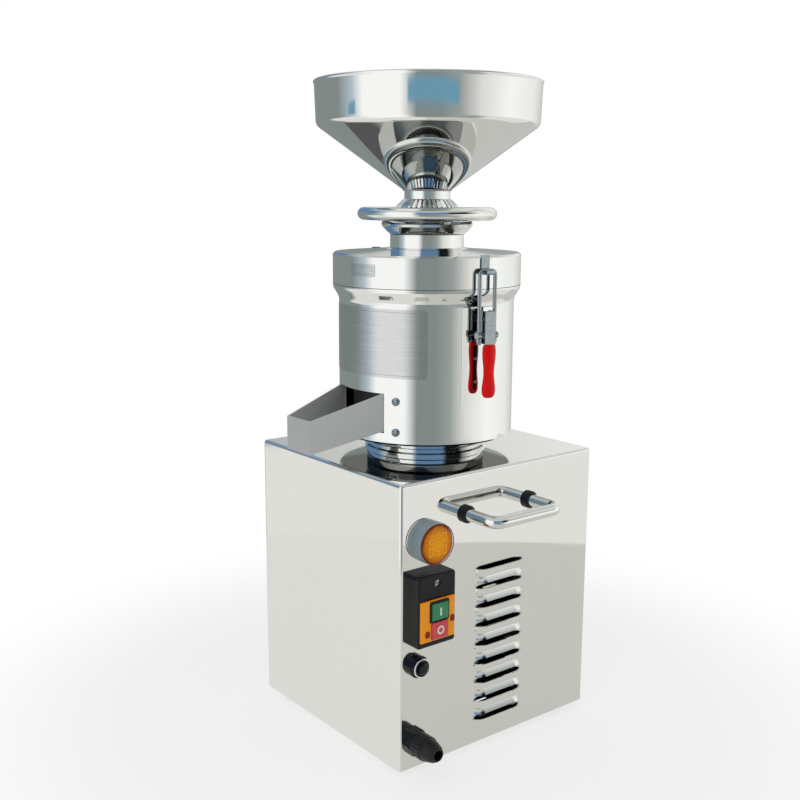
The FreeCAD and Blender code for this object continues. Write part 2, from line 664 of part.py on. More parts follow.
def make_bezel():
    face = f"({front} - switch_depth)"
    body = extruded("bezel_blank", "XZ_Plane", [
        ("bezel_x - bezel_width / 2", "bezel_z - bezel_height / 2"),
        ("bezel_x + bezel_width / 2", "bezel_z - bezel_height / 2"),
        ("bezel_x + bezel_width / 2", "bezel_z + bezel_height / 2"),
        ("bezel_x - bezel_width / 2", "bezel_z + bezel_height / 2")],
        f"-{face}", "bezel_depth")
    proud = value(f"{face} - bezel_depth")
    dressed(body, "Chamfer", "bezel_chamfer", lambda edge: edge.BoundBox.YMax < proud + 0.01)
    windows = [middle_box(f"{label}_window", "bezel_x", f"{face} - bezel_depth / 2",
                          f"{height} - button_height / 2 - sliding_fit",
                          "button_width + 2 * sliding_fit", "bezel_depth + 2",
                          "button_height + 2 * sliding_fit") for label, height in button_rows()]
    named(cut("bezel", body, *windows), "switch_bezel")


def make_push_buttons():
    proud = f"({front} - switch_depth - bezel_depth - button_proud)"
    for label, height in button_rows():
        body = block_body(label + "_key", "bezel_x - button_width / 2", proud,
                          f"{height} - button_height / 2", "button_width", "button_length",
                          "button_height")
        outer = value(proud)
        dressed(body, "Fillet", "button_corner / 2",
                lambda edge, outer=outer: edge.BoundBox.YMax < outer + 0.01)
        named(body, label)


def make_breaker():
    collar = turned("breaker_collar", [
        ("reset_neck_radius + running_fit", 0), ("collar_radius", 0),
        ("collar_radius", "collar_depth * 0.55"), ("collar_radius - 1.4", "collar_depth * 0.65"),
        ("collar_radius - 1.4", "collar_depth - 1"), ("collar_radius - 2.4", "collar_depth"),
        ("reset_neck_radius + running_fit", "collar_depth")])
    named(place(collar, "reset_x", front, "reset_z", "out"), "reset_collar")
    neck = rod("breaker_neck", "reset_neck_radius", "collar_depth + cabinet_sheet", "reset_x",
               f"{front} + cabinet_sheet", "reset_z", "out")
    block = middle_box("breaker_block", "reset_x", f"{front} + cabinet_sheet + breaker_depth / 2",
                       "reset_z - breaker_height / 2", "breaker_width", "breaker_depth",
                       "breaker_height")
    bore = rod("breaker_bore", "reset_radius + sliding_fit", "reset_length + collar_depth",
               "reset_x", f"{front} + reset_length", "reset_z", "out")
    named(cut("breaker", joined("breaker_blank", [neck, block]), bore), "breaker_body")
    button = turned("reset_key", [
        (0, "collar_depth + reset_proud - reset_length"),
        ("reset_radius", "collar_depth + reset_proud - reset_length"),
        ("reset_radius", "collar_depth + reset_proud - 1"),
        ("reset_radius - 1.2", "collar_depth + reset_proud - 0.2"),
        (0, "collar_depth + reset_proud")])
    named(place(button, "reset_x", front, "reset_z", "out"), "reset_button")


def make_gland():
    """The cable gland: hexagon body, cap nut with its empty bore, lock nut inside."""
    hexed = hexagon("gland_hex", "gland_hex_radius", "gland_hex_depth", "gland_x", front,
                    "gland_z", "out")
    behind = "(cabinet_sheet + gland_nut_height + 2)"
    neck = rod("gland_neck", "gland_neck_radius", f"{behind} + gland_hex_depth + gland_seat",
               "gland_x", f"{front} + {behind}", "gland_z", "out")
    bore = rod("gland_bore", "gland_bore_radius", f"{behind} + gland_hex_depth + gland_cap_depth",
               "gland_x", f"{front} + {behind} + 1", "gland_z", "out")
    named(cut("gland", joined("gland_blank", [hexed, neck]), bore), "cable_gland")
    face = "gland_hex_depth"
    inner = "gland_neck_radius + running_fit"
    cap = turned("gland_cap_form", [
        (inner, face), ("gland_cap_radius", face), ("gland_cap_radius", f"{face} + 12"),
        ("gland_cap_radius - 0.9", f"{face} + gland_cap_depth * 0.62"),
        ("gland_cap_radius - 3.2", f"{face} + gland_cap_depth * 0.86"),
        ("gland_bore_radius + 1.2", f"{face} + gland_cap_depth"),
        ("gland_bore_radius", f"{face} + gland_cap_depth"),
        ("gland_bore_radius", f"{face} + gland_seat"), (inner, f"{face} + gland_seat")])
    named(place(cap, "gland_x", front, "gland_z", "out"), "gland_cap")


def make_panel_nuts():
    nuts = []
    for label, x, z, radius, height, bore in (
            ("meter_nut", "meter_x", "meter_z", "meter_nut_radius", "meter_nut_height",
             "meter_neck_radius"),
            ("gland_nut", "gland_x", "gland_z", "gland_nut_radius", "gland_nut_height",
             "gland_neck_radius")):
        start = f"{front} + cabinet_sheet + {height}"
        nuts.append(cut(label, hexagon(label + "_hex", radius, height, x, start, z, "out"),
                        rod(label + "_bore", bore, height, x, start, z, "out")))
    named(group("panel_nut_set", nuts), "panel_nuts")


# ---------------------------------------------------------------- motor
bearing_top = f"({under_top} - 10)"
bearing_low = "(motor_bottom - 2)"


def make_motor_shell():
    named(turned("motor_tube", [
        ("motor_radius - motor_wall", "motor_bottom"), ("motor_radius", "motor_bottom"),
        ("motor_radius", "motor_top"), ("motor_radius - motor_wall", "motor_top")]),
        "motor_frame")
    upper = turned("upper_bell_form", [
        ("bearing_radius", f"{bearing_top} - bearing_height"),
        ("bearing_radius + 5", f"{bearing_top} - bearing_height"),
        ("motor_radius - 12", "motor_top"), ("motor_radius", "motor_top"),
        ("motor_radius", "motor_top + 6"), ("bell_flange_radius", "motor_top + 12"),
        ("bell_flange_radius", under_top), ("bell_spigot_radius", under_top),
        ("bell_spigot_radius", f"{cabinet_top} + bell_spigot_height"),
        ("shaft_radius + 3", f"{cabinet_top} + bell_spigot_height"),
        ("shaft_radius + 3", bearing_top), ("bearing_radius", bearing_top)])
    taps = []
    for index, angle in enumerate(around(4, 45)):
        x, y = on_circle("drive_bolt_circle", angle)
        taps.append(rod(f"drive_tap_{index}", "drive_bolt_radius + running_fit",
                        "drive_bolt_length", x, y, f"{floor_top} - drive_bolt_length - 1"))
    ties = []
    for index, angle in enumerate(around(4)):
        x, y = on_circle("tie_circle", angle)
        taps.append(rod(f"upper_tie_hole_{index}", "tie_bolt_radius + hole_clearance",
                        "tie_hole_depth + 1", x, y, "motor_top - 1"))
        ties.append(rod(f"lower_tie_hole_{index}", "tie_bolt_radius + hole_clearance",
                        "bell_drop + 2", x, y, "motor_bottom - bell_drop - 1"))
    named(cut("upper_bell", upper, *taps), "upper_end_bell")
    lower = turned("lower_bell_form", [
        ("shaft_radius + 2", "motor_bottom - bell_drop"),
        ("motor_radius", "motor_bottom - bell_drop + 8"),
        ("motor_radius", "motor_bottom"), ("bearing_radius + 5", "motor_bottom"),
        ("bearing_radius + 5", f"{bearing_low} + bearing_height"),
        ("bearing_radius", f"{bearing_low} + bearing_height"), ("bearing_radius", bearing_low),
        ("shaft_radius + 2", bearing_low)])
    named(cut("lower_bell", lower, *ties), "lower_end_bell")
    bolts = []
    for index, angle in enumerate(around(4)):
        x, y = on_circle("tie_circle", angle)
        shank = rod(f"tie_shank_{index}", "tie_bolt_radius",
                    "motor_top + 8 - (motor_bottom - bell_drop)", x, y, "motor_bottom - bell_drop")
        head = hexagon(f"tie_head_{index}", "tie_bolt_radius * 1.9", 4, x, y,
                       "motor_bottom - bell_drop - 2")
        bolts.append(joined(f"tie_bolt_{index}", [shank, head]))
    named(group("tie_bolts", bolts), "motor_tie_bolts")
    bearings = []
    for index, low in enumerate((f"({bearing_top} - bearing_height)", bearing_low)):
        bearings.append(turned(f"bearing_{index}", [
            ("shaft_radius + running_fit", low), ("bearing_radius - running_fit", low),
            ("bearing_radius - running_fit", f"{low} + bearing_height"),
            ("shaft_radius + running_fit", f"{low} + bearing_height")]))
    named(group("bearings", bearings), "motor_bearings")


def make_motor_core():
    inside = "motor_radius - motor_wall - running_fit"
    bore = "rotor_core_radius + air_gap"
    top = "stator_bottom + stator_length"
    core = turned("stator_laminations", [
        (bore, "stator_bottom"), (inside, "stator_bottom"), (inside, top), (bore, top)])
    coils = [turned(f"coil_{index}", [
        (f"{bore} + 3", low), ("tie_circle - tie_bolt_radius - 2", low),
        ("tie_circle - tie_bolt_radius - 5", f"{low} + winding_height"),
        (f"{bore} + 6", f"{low} + winding_height")])
        for index, low in enumerate((top, "stator_bottom - winding_height"))]
    passages = []
    for index, angle in enumerate(around(4)):
        x, y = on_circle("tie_circle", angle)
        passages.append(rod(f"stator_hole_{index}", "tie_bolt_radius + hole_clearance",
                            "stator_length + 2", x, y, "stator_bottom - 1"))
    named(cut("stator", joined("stator_blank", [core, *coils]), *passages), "wound_stator")
    named(turned("rotor_laminations", [
        ("shaft_radius", "stator_bottom"), ("rotor_core_radius", "stator_bottom"),
        ("rotor_core_radius", top), ("shaft_radius", top)]), "rotor_core")


def make_shaft_and_fan():
    thread_top = f"{lower_disc_top} - 2"
    fan_bottom = "(motor_bottom - bell_drop - 6 - fan_height)"
    named(turned("shaft", [
        (0, f"{fan_bottom} - 2"), ("shaft_radius", f"{fan_bottom} - 2"),
        ("shaft_radius", "lower_disc_bottom"), ("shaft_thread_radius", "lower_disc_bottom"),
        ("shaft_thread_radius", thread_top), (0, thread_top)]), "motor_shaft")
    hub = turned("fan_hub", [
        ("shaft_radius", fan_bottom), ("shaft_radius + 8", fan_bottom),
        ("shaft_radius + 8", f"{fan_bottom} + fan_height - 3"),
        ("fan_radius", f"{fan_bottom} + fan_height - 3"),
        ("fan_radius", f"{fan_bottom} + fan_height"),
        ("shaft_radius", f"{fan_bottom} + fan_height")])
    vanes = [box(f"fan_vane_{index}", *on_circle("shaft_radius + 6", angle), fan_bottom,
                 "fan_radius - shaft_radius - 8", 2.4, "fan_height - 2", about_axis(angle))
             for index, angle in enumerate(around(8))]
    named(joined("fan", [hub, *vanes]), "cooling_fan")


def make_capacitor():
    base = "(foot_height + base_sheet)"
    named(turned("capacitor_can", [
        (0, 0), ("capacitor_radius", 0), ("capacitor_radius", "capacitor_length - 1.5"),
        ("capacitor_radius - 1.5", "capacitor_length"), (4, "capacitor_length"),
        (4, "capacitor_length + 6"), (0, "capacitor_length + 6")]), "run_capacitor")
    place(parts[-1], "capacitor_x", "capacitor_y", base)


# ---------------------------------------------------------------- pedestal and chamber
def drive_bolt_rods(name, radius, z, height):
    return [rod(f"{name}_{index}", radius, height, *on_circle("drive_bolt_circle", angle), z)
            for index, angle in enumerate(around(4, 45))]


def make_pedestal():
    middle = f"{cabinet_top} + pedestal_height / 2"
    ring = turned("pedestal_form", [
        ("bell_spigot_radius + sliding_fit", cabinet_top),
        ("pedestal_radius + 2", cabinet_top), ("pedestal_radius + 2", f"{cabinet_top} + 2.5"),
        ("pedestal_radius", f"{cabinet_top} + 4"),
        ("pedestal_radius", f"{middle} - pedestal_groove / 2"),
        ("pedestal_radius - pedestal_groove / 2", middle),
        ("pedestal_radius", f"{middle} + pedestal_groove / 2"),
        ("pedestal_radius", f"{chamber_bottom} - 1.5"),
        ("pedestal_radius - 1.5", chamber_bottom), ("shaft_radius + 4", chamber_bottom),
        ("shaft_radius + 4", f"{cabinet_top} + bell_spigot_height + 1"),
        ("bell_spigot_radius + sliding_fit", f"{cabinet_top} + bell_spigot_height + 1")])
    named(cut("pedestal", ring, *drive_bolt_rods("pedestal_hole",
                                                 "drive_bolt_radius + hole_clearance",
                                                 f"{cabinet_top} - 1", "pedestal_height + 2")),
          "pedestal_ring")


def make_chamber():
    """The grinding housing: a floor with a seal boss, a wall and the flared top."""
    seal_seat = f"({boss_top} - seal_height)"
    register = "(flare_radius - register_wall)"
    cup = turned("chamber_form", [
        ("shaft_radius + 4", chamber_bottom), ("chamber_radius - 2", chamber_bottom),
        ("chamber_radius", f"{chamber_bottom} + 2"), ("chamber_radius", flare_bottom),
        ("flare_radius", f"{split} - flare_lip"), ("flare_radius", split),
        (register, split), (register, f"{split} - register_depth"),
        (chamber_inside, f"{split} - register_depth"),
        (chamber_inside, f"{floor_top} + chamber_corner"),
        (f"{chamber_inside} - chamber_corner", floor_top), ("seal_boss_radius + 3", floor_top),
        ("seal_boss_radius", f"{floor_top} + 3"), ("seal_boss_radius", boss_top),
        ("seal_radius", boss_top), ("seal_radius", seal_seat),
        ("shaft_radius + 4", seal_seat)])
    dressed(cup, "Fillet", "flare_round",
            lambda edge: lies_at(edge, flare_bottom) or lies_at(edge, f"{split} - flare_lip"))
    fall = "(chute_root_floor - chute_end_floor) / (chute_reach - chute_root)"
    sill = f"(chute_root_floor - {fall} * (chamber_radius - chute_root) - hole_clearance)"
    window = box("outlet_window", "-chute_reach", "-chute_root_half - hole_clearance", sill,
                 "chute_reach - chamber_radius / 2", "2 * (chute_root_half + hole_clearance)",
                 f"chute_root_top - {sill} + hole_clearance")
    screw_holes = chute_screw_rods("chamber_screw_hole", "chute_screw_radius + hole_clearance",
                                   *through_wall)
    named(cut("chamber", cup, window, *screw_holes, *drive_bolt_rods(
        "chamber_hole", "drive_bolt_radius + hole_clearance", f"{chamber_bottom} - 1",
        "chamber_floor + 2")), "grinding_housing")
    named(turned("seal", [
        ("shaft_radius + running_fit", seal_seat), ("seal_radius", seal_seat),
        ("seal_radius", boss_top), ("shaft_radius + 4", boss_top),
        ("shaft_radius + running_fit", f"{boss_top} - 3")]), "shaft_seal")
    bolts = []
    for index, angle in enumerate(around(4, 45)):
        x, y = on_circle("drive_bolt_circle", angle)
        socket = hexagon(f"drive_socket_{index}", "drive_bolt_radius * 0.9",
                         "drive_head_height / 2 + 1", x, y, f"{floor_top} + drive_head_height / 2")
        blank = joined(f"drive_blank_{index}", [
            rod(f"drive_head_{index}", "drive_head_radius", "drive_head_height", x, y, floor_top),
            rod(f"drive_shank_{index}", "drive_bolt_radius", "drive_bolt_length", x, y,
                f"{floor_top} - drive_bolt_length")])
        bolts.append(cut(f"drive_bolt_{index}", blank, socket))
    named(group("drive_bolts", bolts), "housing_bolts")


through_wall = (f"({chamber_inside} - 4 * chute_sheet)", "2 * (chamber_wall + 4 * chute_sheet)")


def chute_screw_rods(name, radius, start, length):
    """Rods that point outward through the wall on both sides of the chute."""
    rods = []
    for side in (-1, 1):
        angle = f"(180 + {side} * chute_screw_turn)"
        heading = 180 + side * value("chute_screw_turn")
        turn = about_axis(heading).multiply(turns["right"])
        for height in ("chute_screw_low", "chute_screw_high"):
            rods.append(rod(f"{name}_{len(rods)}", radius, length, f"({start}) * cos({angle})",
                            f"({start}) * sin({angle})", height, turn))
    return rods


def make_chute():
    """The open trough: tapered side walls, a sloping floor, a nose with its mouth below,
    and two curved tabs that are screwed to the inside of the chamber wall."""
    start = "(chamber_radius - 18)"
    length = f"(chute_reach - {start})"
    share = f"(({start} - chute_root) / (chute_reach - chute_root))"
    high = "(chute_root_top + 40)"

    def at_root(root, end):
        return f"({root} + {share} * ({end} - {root}))"

    root_half = at_root("chute_root_half", "chute_end_half")
    root_floor = at_root("chute_root_floor", "chute_end_floor")
    root_top = at_root("chute_root_top", "chute_end_top")
    body = wedge("chute_body", (f"-{root_half}", root_half, root_floor, root_top),
                 ("-chute_end_half", "chute_end_half", "chute_end_floor", "chute_end_top"),
                 length, f"-{start}", 0, 0, "left")
    room = wedge("chute_room", (f"-{root_half} + chute_sheet", f"{root_half} - chute_sheet",
                                f"{root_floor} + chute_sheet", high),
                 ("-chute_end_half + chute_sheet", "chute_end_half - chute_sheet",
                  "chute_end_floor + chute_sheet", high),
                 length, f"-{start} + chute_sheet", 0, 0, "left")
    mouth = box("chute_mouth", "-chute_reach + chute_sheet", "-chute_end_half + chute_sheet + 1",
                "chute_end_floor - 5", "mouth_length", "2 * (chute_end_half - chute_sheet - 1)",
                "20")
    inside = rod("chamber_inside", f"{chamber_inside} - running_fit", "chute_root_top", z=0)
    side_room = middle_box("window_limit", "-chute_reach / 2", 0, 0, "chute_reach",
                           "2 * chute_root_half", "chute_root_top")
    trough = cut("chute_trough", shared("chute_in_window", body, side_room), room, mouth, inside)
    tab_low = f"({floor_top} + chamber_corner + face_gap)"
    tab_height = f"(chute_screw_high + chute_head_radius + 1.5 - {tab_low})"
    tab_out = rod("tab_outside", f"{chamber_inside} - running_fit", tab_height, z=tab_low)
    tab_in = rod("tab_inside", f"{chamber_inside} - running_fit - chute_sheet",
                 f"{tab_height} + 2", z=f"{tab_low} - 1")
    tab_zone = joined("tab_zone", [
        box(f"tab_box_{side + 1}", "-chamber_radius", (f"{side} * (chute_root_half + "
            f"{'chute_tab_width' if side < 0 else '0'}) + {0 if side < 0 else -1.5}"),
            tab_low, "chamber_radius - 20", "chute_tab_width + 1.5", tab_height)
        for side in (-1, 1)])
    tabs = shared("chute_tabs", cut("tab_ring", tab_out, tab_in), tab_zone)
    holes = chute_screw_rods("tab_hole", "chute_screw_radius + running_fit", *through_wall)
    named(cut("chute", joined("chute_blank", [trough, tabs]), *holes), "discharge_chute")


def make_chute_screws():
    heads = chute_screw_rods("chute_head", "chute_head_radius",
                             "chamber_radius + running_fit", "chute_head_height")
    shanks = chute_screw_rods("chute_shank", "chute_screw_radius",
                              "chamber_radius - chamber_wall - chute_sheet - 2",
                              "chamber_wall + chute_sheet + 2.5")
    screws = [joined(f"chute_screw_{index}", [head, shank])
              for index, (head, shank) in enumerate(zip(heads, shanks))]
    named(group("chute_screw_set", screws), "chute_screws")


# ---------------------------------------------------------------- cover
def make_cover():
    register = "(flare_radius - register_wall - sliding_fit)"
    spigot_low = f"({split} - register_depth + seal_ring)"
    inner = "(flare_radius - cover_wall)"
    shell = turned("cover_form", [
        (chamber_inside, spigot_low), (register, spigot_low), (register, split),
        ("flare_radius", split), ("flare_radius", f"{cover_top} - cover_edge"),
        ("flare_radius - cover_edge", cover_top), ("neck_radius + 6", roof_top),
        ("neck_radius", f"{roof_top} + 1.5"), ("neck_radius", neck_top),
        ("spigot_radius + running_fit", neck_top),
        ("spigot_radius + running_fit", roof_bottom),
        (inner, f"{cover_top} - cover_roof"), (inner, f"{split} + 6"),
        (chamber_inside, f"{split} + 4")])
    bosses = []
    bores = []
    for index, angle in enumerate(around(2, 90)):
        x, y = on_circle("guide_circle", angle)
        bosses.append(rod(f"guide_boss_{index}", "guide_boss_radius", "cover_height - 8", x, y,
                          f"{roof_bottom} - cover_height + 9"))
        bores.append(rod(f"guide_bore_{index}", "guide_radius + running_fit",
                         "cover_height - 6", x, y, f"{roof_bottom} - cover_height + 8"))
    named(cut("cover", joined("cover_blank", [shell, *bosses]), *bores), "head_cover")
    named(turned("cover_ring", [
        (f"{chamber_inside} + 0.4", f"{split} - register_depth"),
        (f"{register} - 0.2", f"{split} - register_depth"),
        (f"{register} - 0.2", spigot_low), (f"{chamber_inside} + 0.4", spigot_low)]),
        "cover_seal")


# ---------------------------------------------------------------- grinding discs
def furrows(name, face, down):
    """Tapered feed furrows and fine rim cuts; they lean forward like saw teeth.

    down is 1 where the furrows are cut down into a top face, -1 into an underside."""
    tools = []
    far = "disc_radius - 5"
    near = "disc_bore - 3"
    for index, angle in enumerate(around("furrow_count")):
        for row, (start, share, turn) in enumerate(((near, 1, 0), (f"{near} + 20", 0.6, 15))):
            lean = f"disc_bore * 0.45 * {down}"
            heading = angle + turn
            x = f"({start}) * cos({heading}) - {lean} * sin({heading})"
            y = f"({start}) * sin({heading}) + {lean} * cos({heading})"
            deep = f"furrow_depth * {share}"
            wide = f"furrow_width * {share}"
            low, high = (f"-{deep}", "1") if down > 0 else ("-1", deep)
            low_end, high_end = ("-furrow_depth * 0.2", "1") if down > 0 else (
                "-1", "furrow_depth * 0.2")
            tools.append(wedge(f"{name}_{index}_{row}", (f"-{wide} / 2", f"{wide} / 2", low, high),
                               (f"-{wide} / 5", f"{wide} / 5", low_end, high_end),
                               f"{far} - ({start})", x, y, face, about_axis(heading - 90)))
    for index, angle in enumerate(around("rim_cut_count", 5)):
        x, y = on_circle("disc_radius - rim_cut_length", angle)
        low = f"{face} - rim_cut_depth" if down > 0 else f"{face} - 1"
        tools.append(box(f"{name}_rim_{index}", x, y, low, "rim_cut_length + 2", 1.4,
                         "rim_cut_depth + 1", about_axis(angle)))
    return joined(name, tools)


def make_discs():
    recess = "shaft_nut_flange + 0.5"
    lower = turned("lower_disc_blank", [
        ("disc_bore", "lower_disc_bottom"), ("disc_radius - 1", "lower_disc_bottom"),
        ("disc_radius", "lower_disc_bottom + 1"), ("disc_radius", lower_disc_top),
        (recess, lower_disc_top), (recess, nut_seat), ("disc_bore", nut_seat)])
    named(cut("lower_disc_cut", lower, furrows("lower_furrows", lower_disc_top, 1)),
          "lower_disc")
    upper = turned("upper_disc_blank", [
        ("tube_bore", carriage_bottom), (recess, upper_disc_bottom),
        ("disc_radius", upper_disc_bottom), ("disc_radius", f"{carriage_bottom} - 1"),
        ("disc_radius - 1", carriage_bottom)])
    named(cut("upper_disc_cut", upper, furrows("upper_furrows", upper_disc_bottom, -1)),
          "upper_disc")


def make_table():
    """The driven table that carries the lower disc, its blades and its clamping nut."""
    named(turned("table_form", [
        ("shaft_radius", "table_hub_bottom"), ("table_hub_radius", "table_hub_bottom"),
        ("table_hub_radius", f"{table_bottom} - 8"), ("table_hub_radius + 8", table_bottom),
        ("table_radius", table_bottom), ("table_radius", "lower_disc_bottom"),
        ("disc_bore - running_fit", "lower_disc_bottom"),
        ("disc_bore - running_fit", f"{nut_seat} - face_gap"),
        ("shaft_radius + 1", f"{nut_seat} - face_gap"),
        ("shaft_radius + 1", "lower_disc_bottom"), ("shaft_radius", "lower_disc_bottom")]),
        "disc_table")
    blades = []
    for index, angle in enumerate(around("blade_count")):
        turn = about_axis(angle)
        upper_low = f"({floor_top} + floor_clearance + blade_step_height)"
        reach = f"({chamber_inside} - wall_clearance)"
        upper = box(f"blade_upper_{index}", *on_circle("blade_inner", angle), upper_low,
                    f"{reach} - blade_inner", "blade_thickness", f"{table_bottom} - {upper_low}",
                    turn)
        lower = box(f"blade_lower_{index}", *on_circle("blade_step", angle),
                    f"{floor_top} + floor_clearance", f"{reach} - blade_step",
                    "blade_thickness", "blade_step_height + 1", turn)
        blades.append(joined(f"blade_{index}", [upper, lower]))
    named(group("blades", blades), "scraper_blades")
    flange = turned("nut_flange", [
        ("shaft_thread_radius", nut_seat), ("shaft_nut_flange", nut_seat),
        ("shaft_nut_flange", f"{nut_seat} + 3"), ("shaft_thread_radius", f"{nut_seat} + 3")])
    head = cut("nut_head", hexagon("nut_hex", "shaft_nut_radius", "shaft_nut_height",
                                   z=f"{nut_seat} + 3"),
               rod("nut_bore", "shaft_thread_radius", "shaft_nut_recess + 1", z=f"{nut_seat} - 1"))
    named(joined("nut", [flange, head]), "shaft_nut")


def make_carriage():
    """The feed tube with its flange; two pins keep it from turning with the handwheel."""
    named(turned("feed_tube_form", [
        ("tube_bore", carriage_bottom), ("table_radius", carriage_bottom),
        ("table_radius", f"{flange_top} - 2"), ("table_radius - 4", flange_top),
        ("tube_radius + 6", flange_top), ("tube_radius", f"{flange_top} + 6"),
        ("tube_radius", "tube_top"), ("tube_bore", "tube_top")]), "feed_tube")
    pins = []
    for index, angle in enumerate(around(2, 90)):
        x, y = on_circle("guide_circle", angle)
        pins.append(rod(f"guide_pin_{index}", "guide_radius",
                        f"{roof_bottom} - {flange_top} - 6", x, y, flange_top))
    named(group("guide_pin_set", pins), "guide_pins")


# ---------------------------------------------------------------- handwheel, ring, hopper
def make_handwheel():
    thread = "tube_radius + running_fit"
    clip_low = f"({roof_bottom} - face_gap - clip_height)"
    hub = turned("wheel_hub", [
        (thread, f"{clip_low} - 3"), ("spigot_radius", f"{clip_low} - 3"),
        ("spigot_radius", clip_low), ("spigot_radius - 1.5", clip_low),
        ("spigot_radius - 1.5", f"{clip_low} + clip_height"),
        ("spigot_radius", f"{clip_low} + clip_height"), ("spigot_radius", hub_bottom),
        ("neck_radius", hub_bottom), ("neck_radius + 4", f"{hub_bottom} + bell_height * 0.3"),
        ("bell_radius - 1", f"{hub_bottom} + bell_height * 0.75"),
        ("bell_radius", f"{hub_bottom} + bell_height"),
        ("bell_radius - 1", f"{hub_bottom} + bell_height + 3"),
        ("hub_radius + 2", "hub_top - 5"), ("hub_radius", "hub_top"), (thread, "hub_top")])
    rim = elbow("wheel_rim", "wheel_radius - wheel_grip", "wheel_grip", 360, 0, 0,
                "wheel_height", "up")
    spokes = []
    for index, angle in enumerate(around("spoke_count", 20)):
        along = f"(hub_radius - 2) * cos({angle}) - spoke_width / 2 * sin({angle})"
        across = f"(hub_radius - 2) * sin({angle}) + spoke_width / 2 * cos({angle})"
        spokes.append(wedge(f"spoke_{index}",
                            ("0", "spoke_width", "-spoke_height", "0"),
                            ("2", "spoke_width - 2", "-spoke_height * 0.35", "spoke_height * 0.35"),
                            "wheel_radius - wheel_grip - hub_radius + 2", along, across,
                            "wheel_height", about_axis(angle - 90)))
    named(joined("wheel", [hub, rim, *spokes]), "handwheel")
    named(turned("clip_form", [
        ("spigot_radius - 1.5", clip_low), ("clip_radius", clip_low),
        ("clip_radius", f"{clip_low} + clip_height"),
        ("spigot_radius - 1.5", f"{clip_low} + clip_height")]), "hub_circlip")


def make_lock_ring():
    low = "(hub_top + face_gap)"
    ring = turned("lock_blank", [
        ("tube_radius + running_fit", low), ("lock_radius", low),
        ("lock_radius", f"{low} + lock_height - lock_bevel"),
        ("cone_radius", f"{low} + lock_height"),
        ("tube_radius + running_fit", f"{low} + lock_height")])
    lean = FreeCAD.Rotation(FreeCAD.Vector(0, 1, 0),
                            -value("atan((lock_radius - cone_radius) / lock_bevel)"))
    wide = "5 * serration_depth"
    edgewise = about_axis(-45)
    cuts = []
    for index, angle in enumerate(around("serration_count")):
        x, y = on_circle("lock_radius - serration_depth", angle)
        upright = about_axis(angle).multiply(edgewise)
        sloping = about_axis(angle).multiply(lean).multiply(edgewise)
        cuts.append(box(f"serration_{index}", x, y, f"{low} - 1", wide, wide,
                        "lock_height + 2", upright))
        cuts.append(box(f"bevel_serration_{index}", x, y, f"{low} + lock_height - lock_bevel",
                        wide, wide, "lock_bevel + lock_radius - cone_radius", sloping))
    named(cut("lock", ring, *cuts), "lock_ring")


def make_hopper():
    """The spun bowl, and the turned stem that it is welded to at the foot of its cone."""
    slope = "(crease_height - cone_bottom) / (crease_radius - cone_radius)"
    upright = f"(hopper_sheet * sqrt(1 + ({slope}) ^ 2))"
    inner_radius = "(crease_radius - hopper_sheet)"
    inner_crease = f"(crease_height + {upright} - hopper_sheet * {slope})"
    bowl = turned("hopper_form", [
        ("cone_radius", "cone_bottom"), ("crease_radius", "crease_height"),
        ("hopper_radius", "hopper_top - hopper_lip"),
        ("hopper_radius", "hopper_top"), ("hopper_radius - hopper_lip", "hopper_top"),
        ("hopper_radius - hopper_sheet", "hopper_top - hopper_lip"),
        (inner_radius, inner_crease), ("cone_radius", f"cone_bottom + {upright}")])
    dressed(bowl, "Fillet", "crease_bend", lambda edge: lies_at(edge, "crease_height"))
    dressed(bowl, "Fillet", "crease_bend - hopper_sheet",
            lambda edge: lies_at(edge, inner_crease))
    named(bowl, "hopper_bowl")
    plug = "tube_bore - sliding_fit"
    named(turned("stem_form", [
        ("stem_bore", "tube_top - stem_plug_length"), (plug, "tube_top - stem_plug_length"),
        (plug, "tube_top"), ("stem_radius", "tube_top"), ("stem_radius", "cone_bottom - 1"),
        ("cone_radius", "cone_bottom"), ("cone_radius", f"cone_bottom + {upright}"),
        ("stem_bore", f"cone_bottom + {upright} - (cone_radius - stem_bore) * {slope}")]),
        "hopper_stem")


# ---------------------------------------------------------------- latches
def latch_turns():
    """The latches stand on opposite sides of the chamber."""
    return (("front", value("latch_turn")), ("rear", value("latch_turn") + 180))


def turned_round(item, angle):
    item.Placement = FreeCAD.Placement(FreeCAD.Vector(), about_axis(angle))
    return item


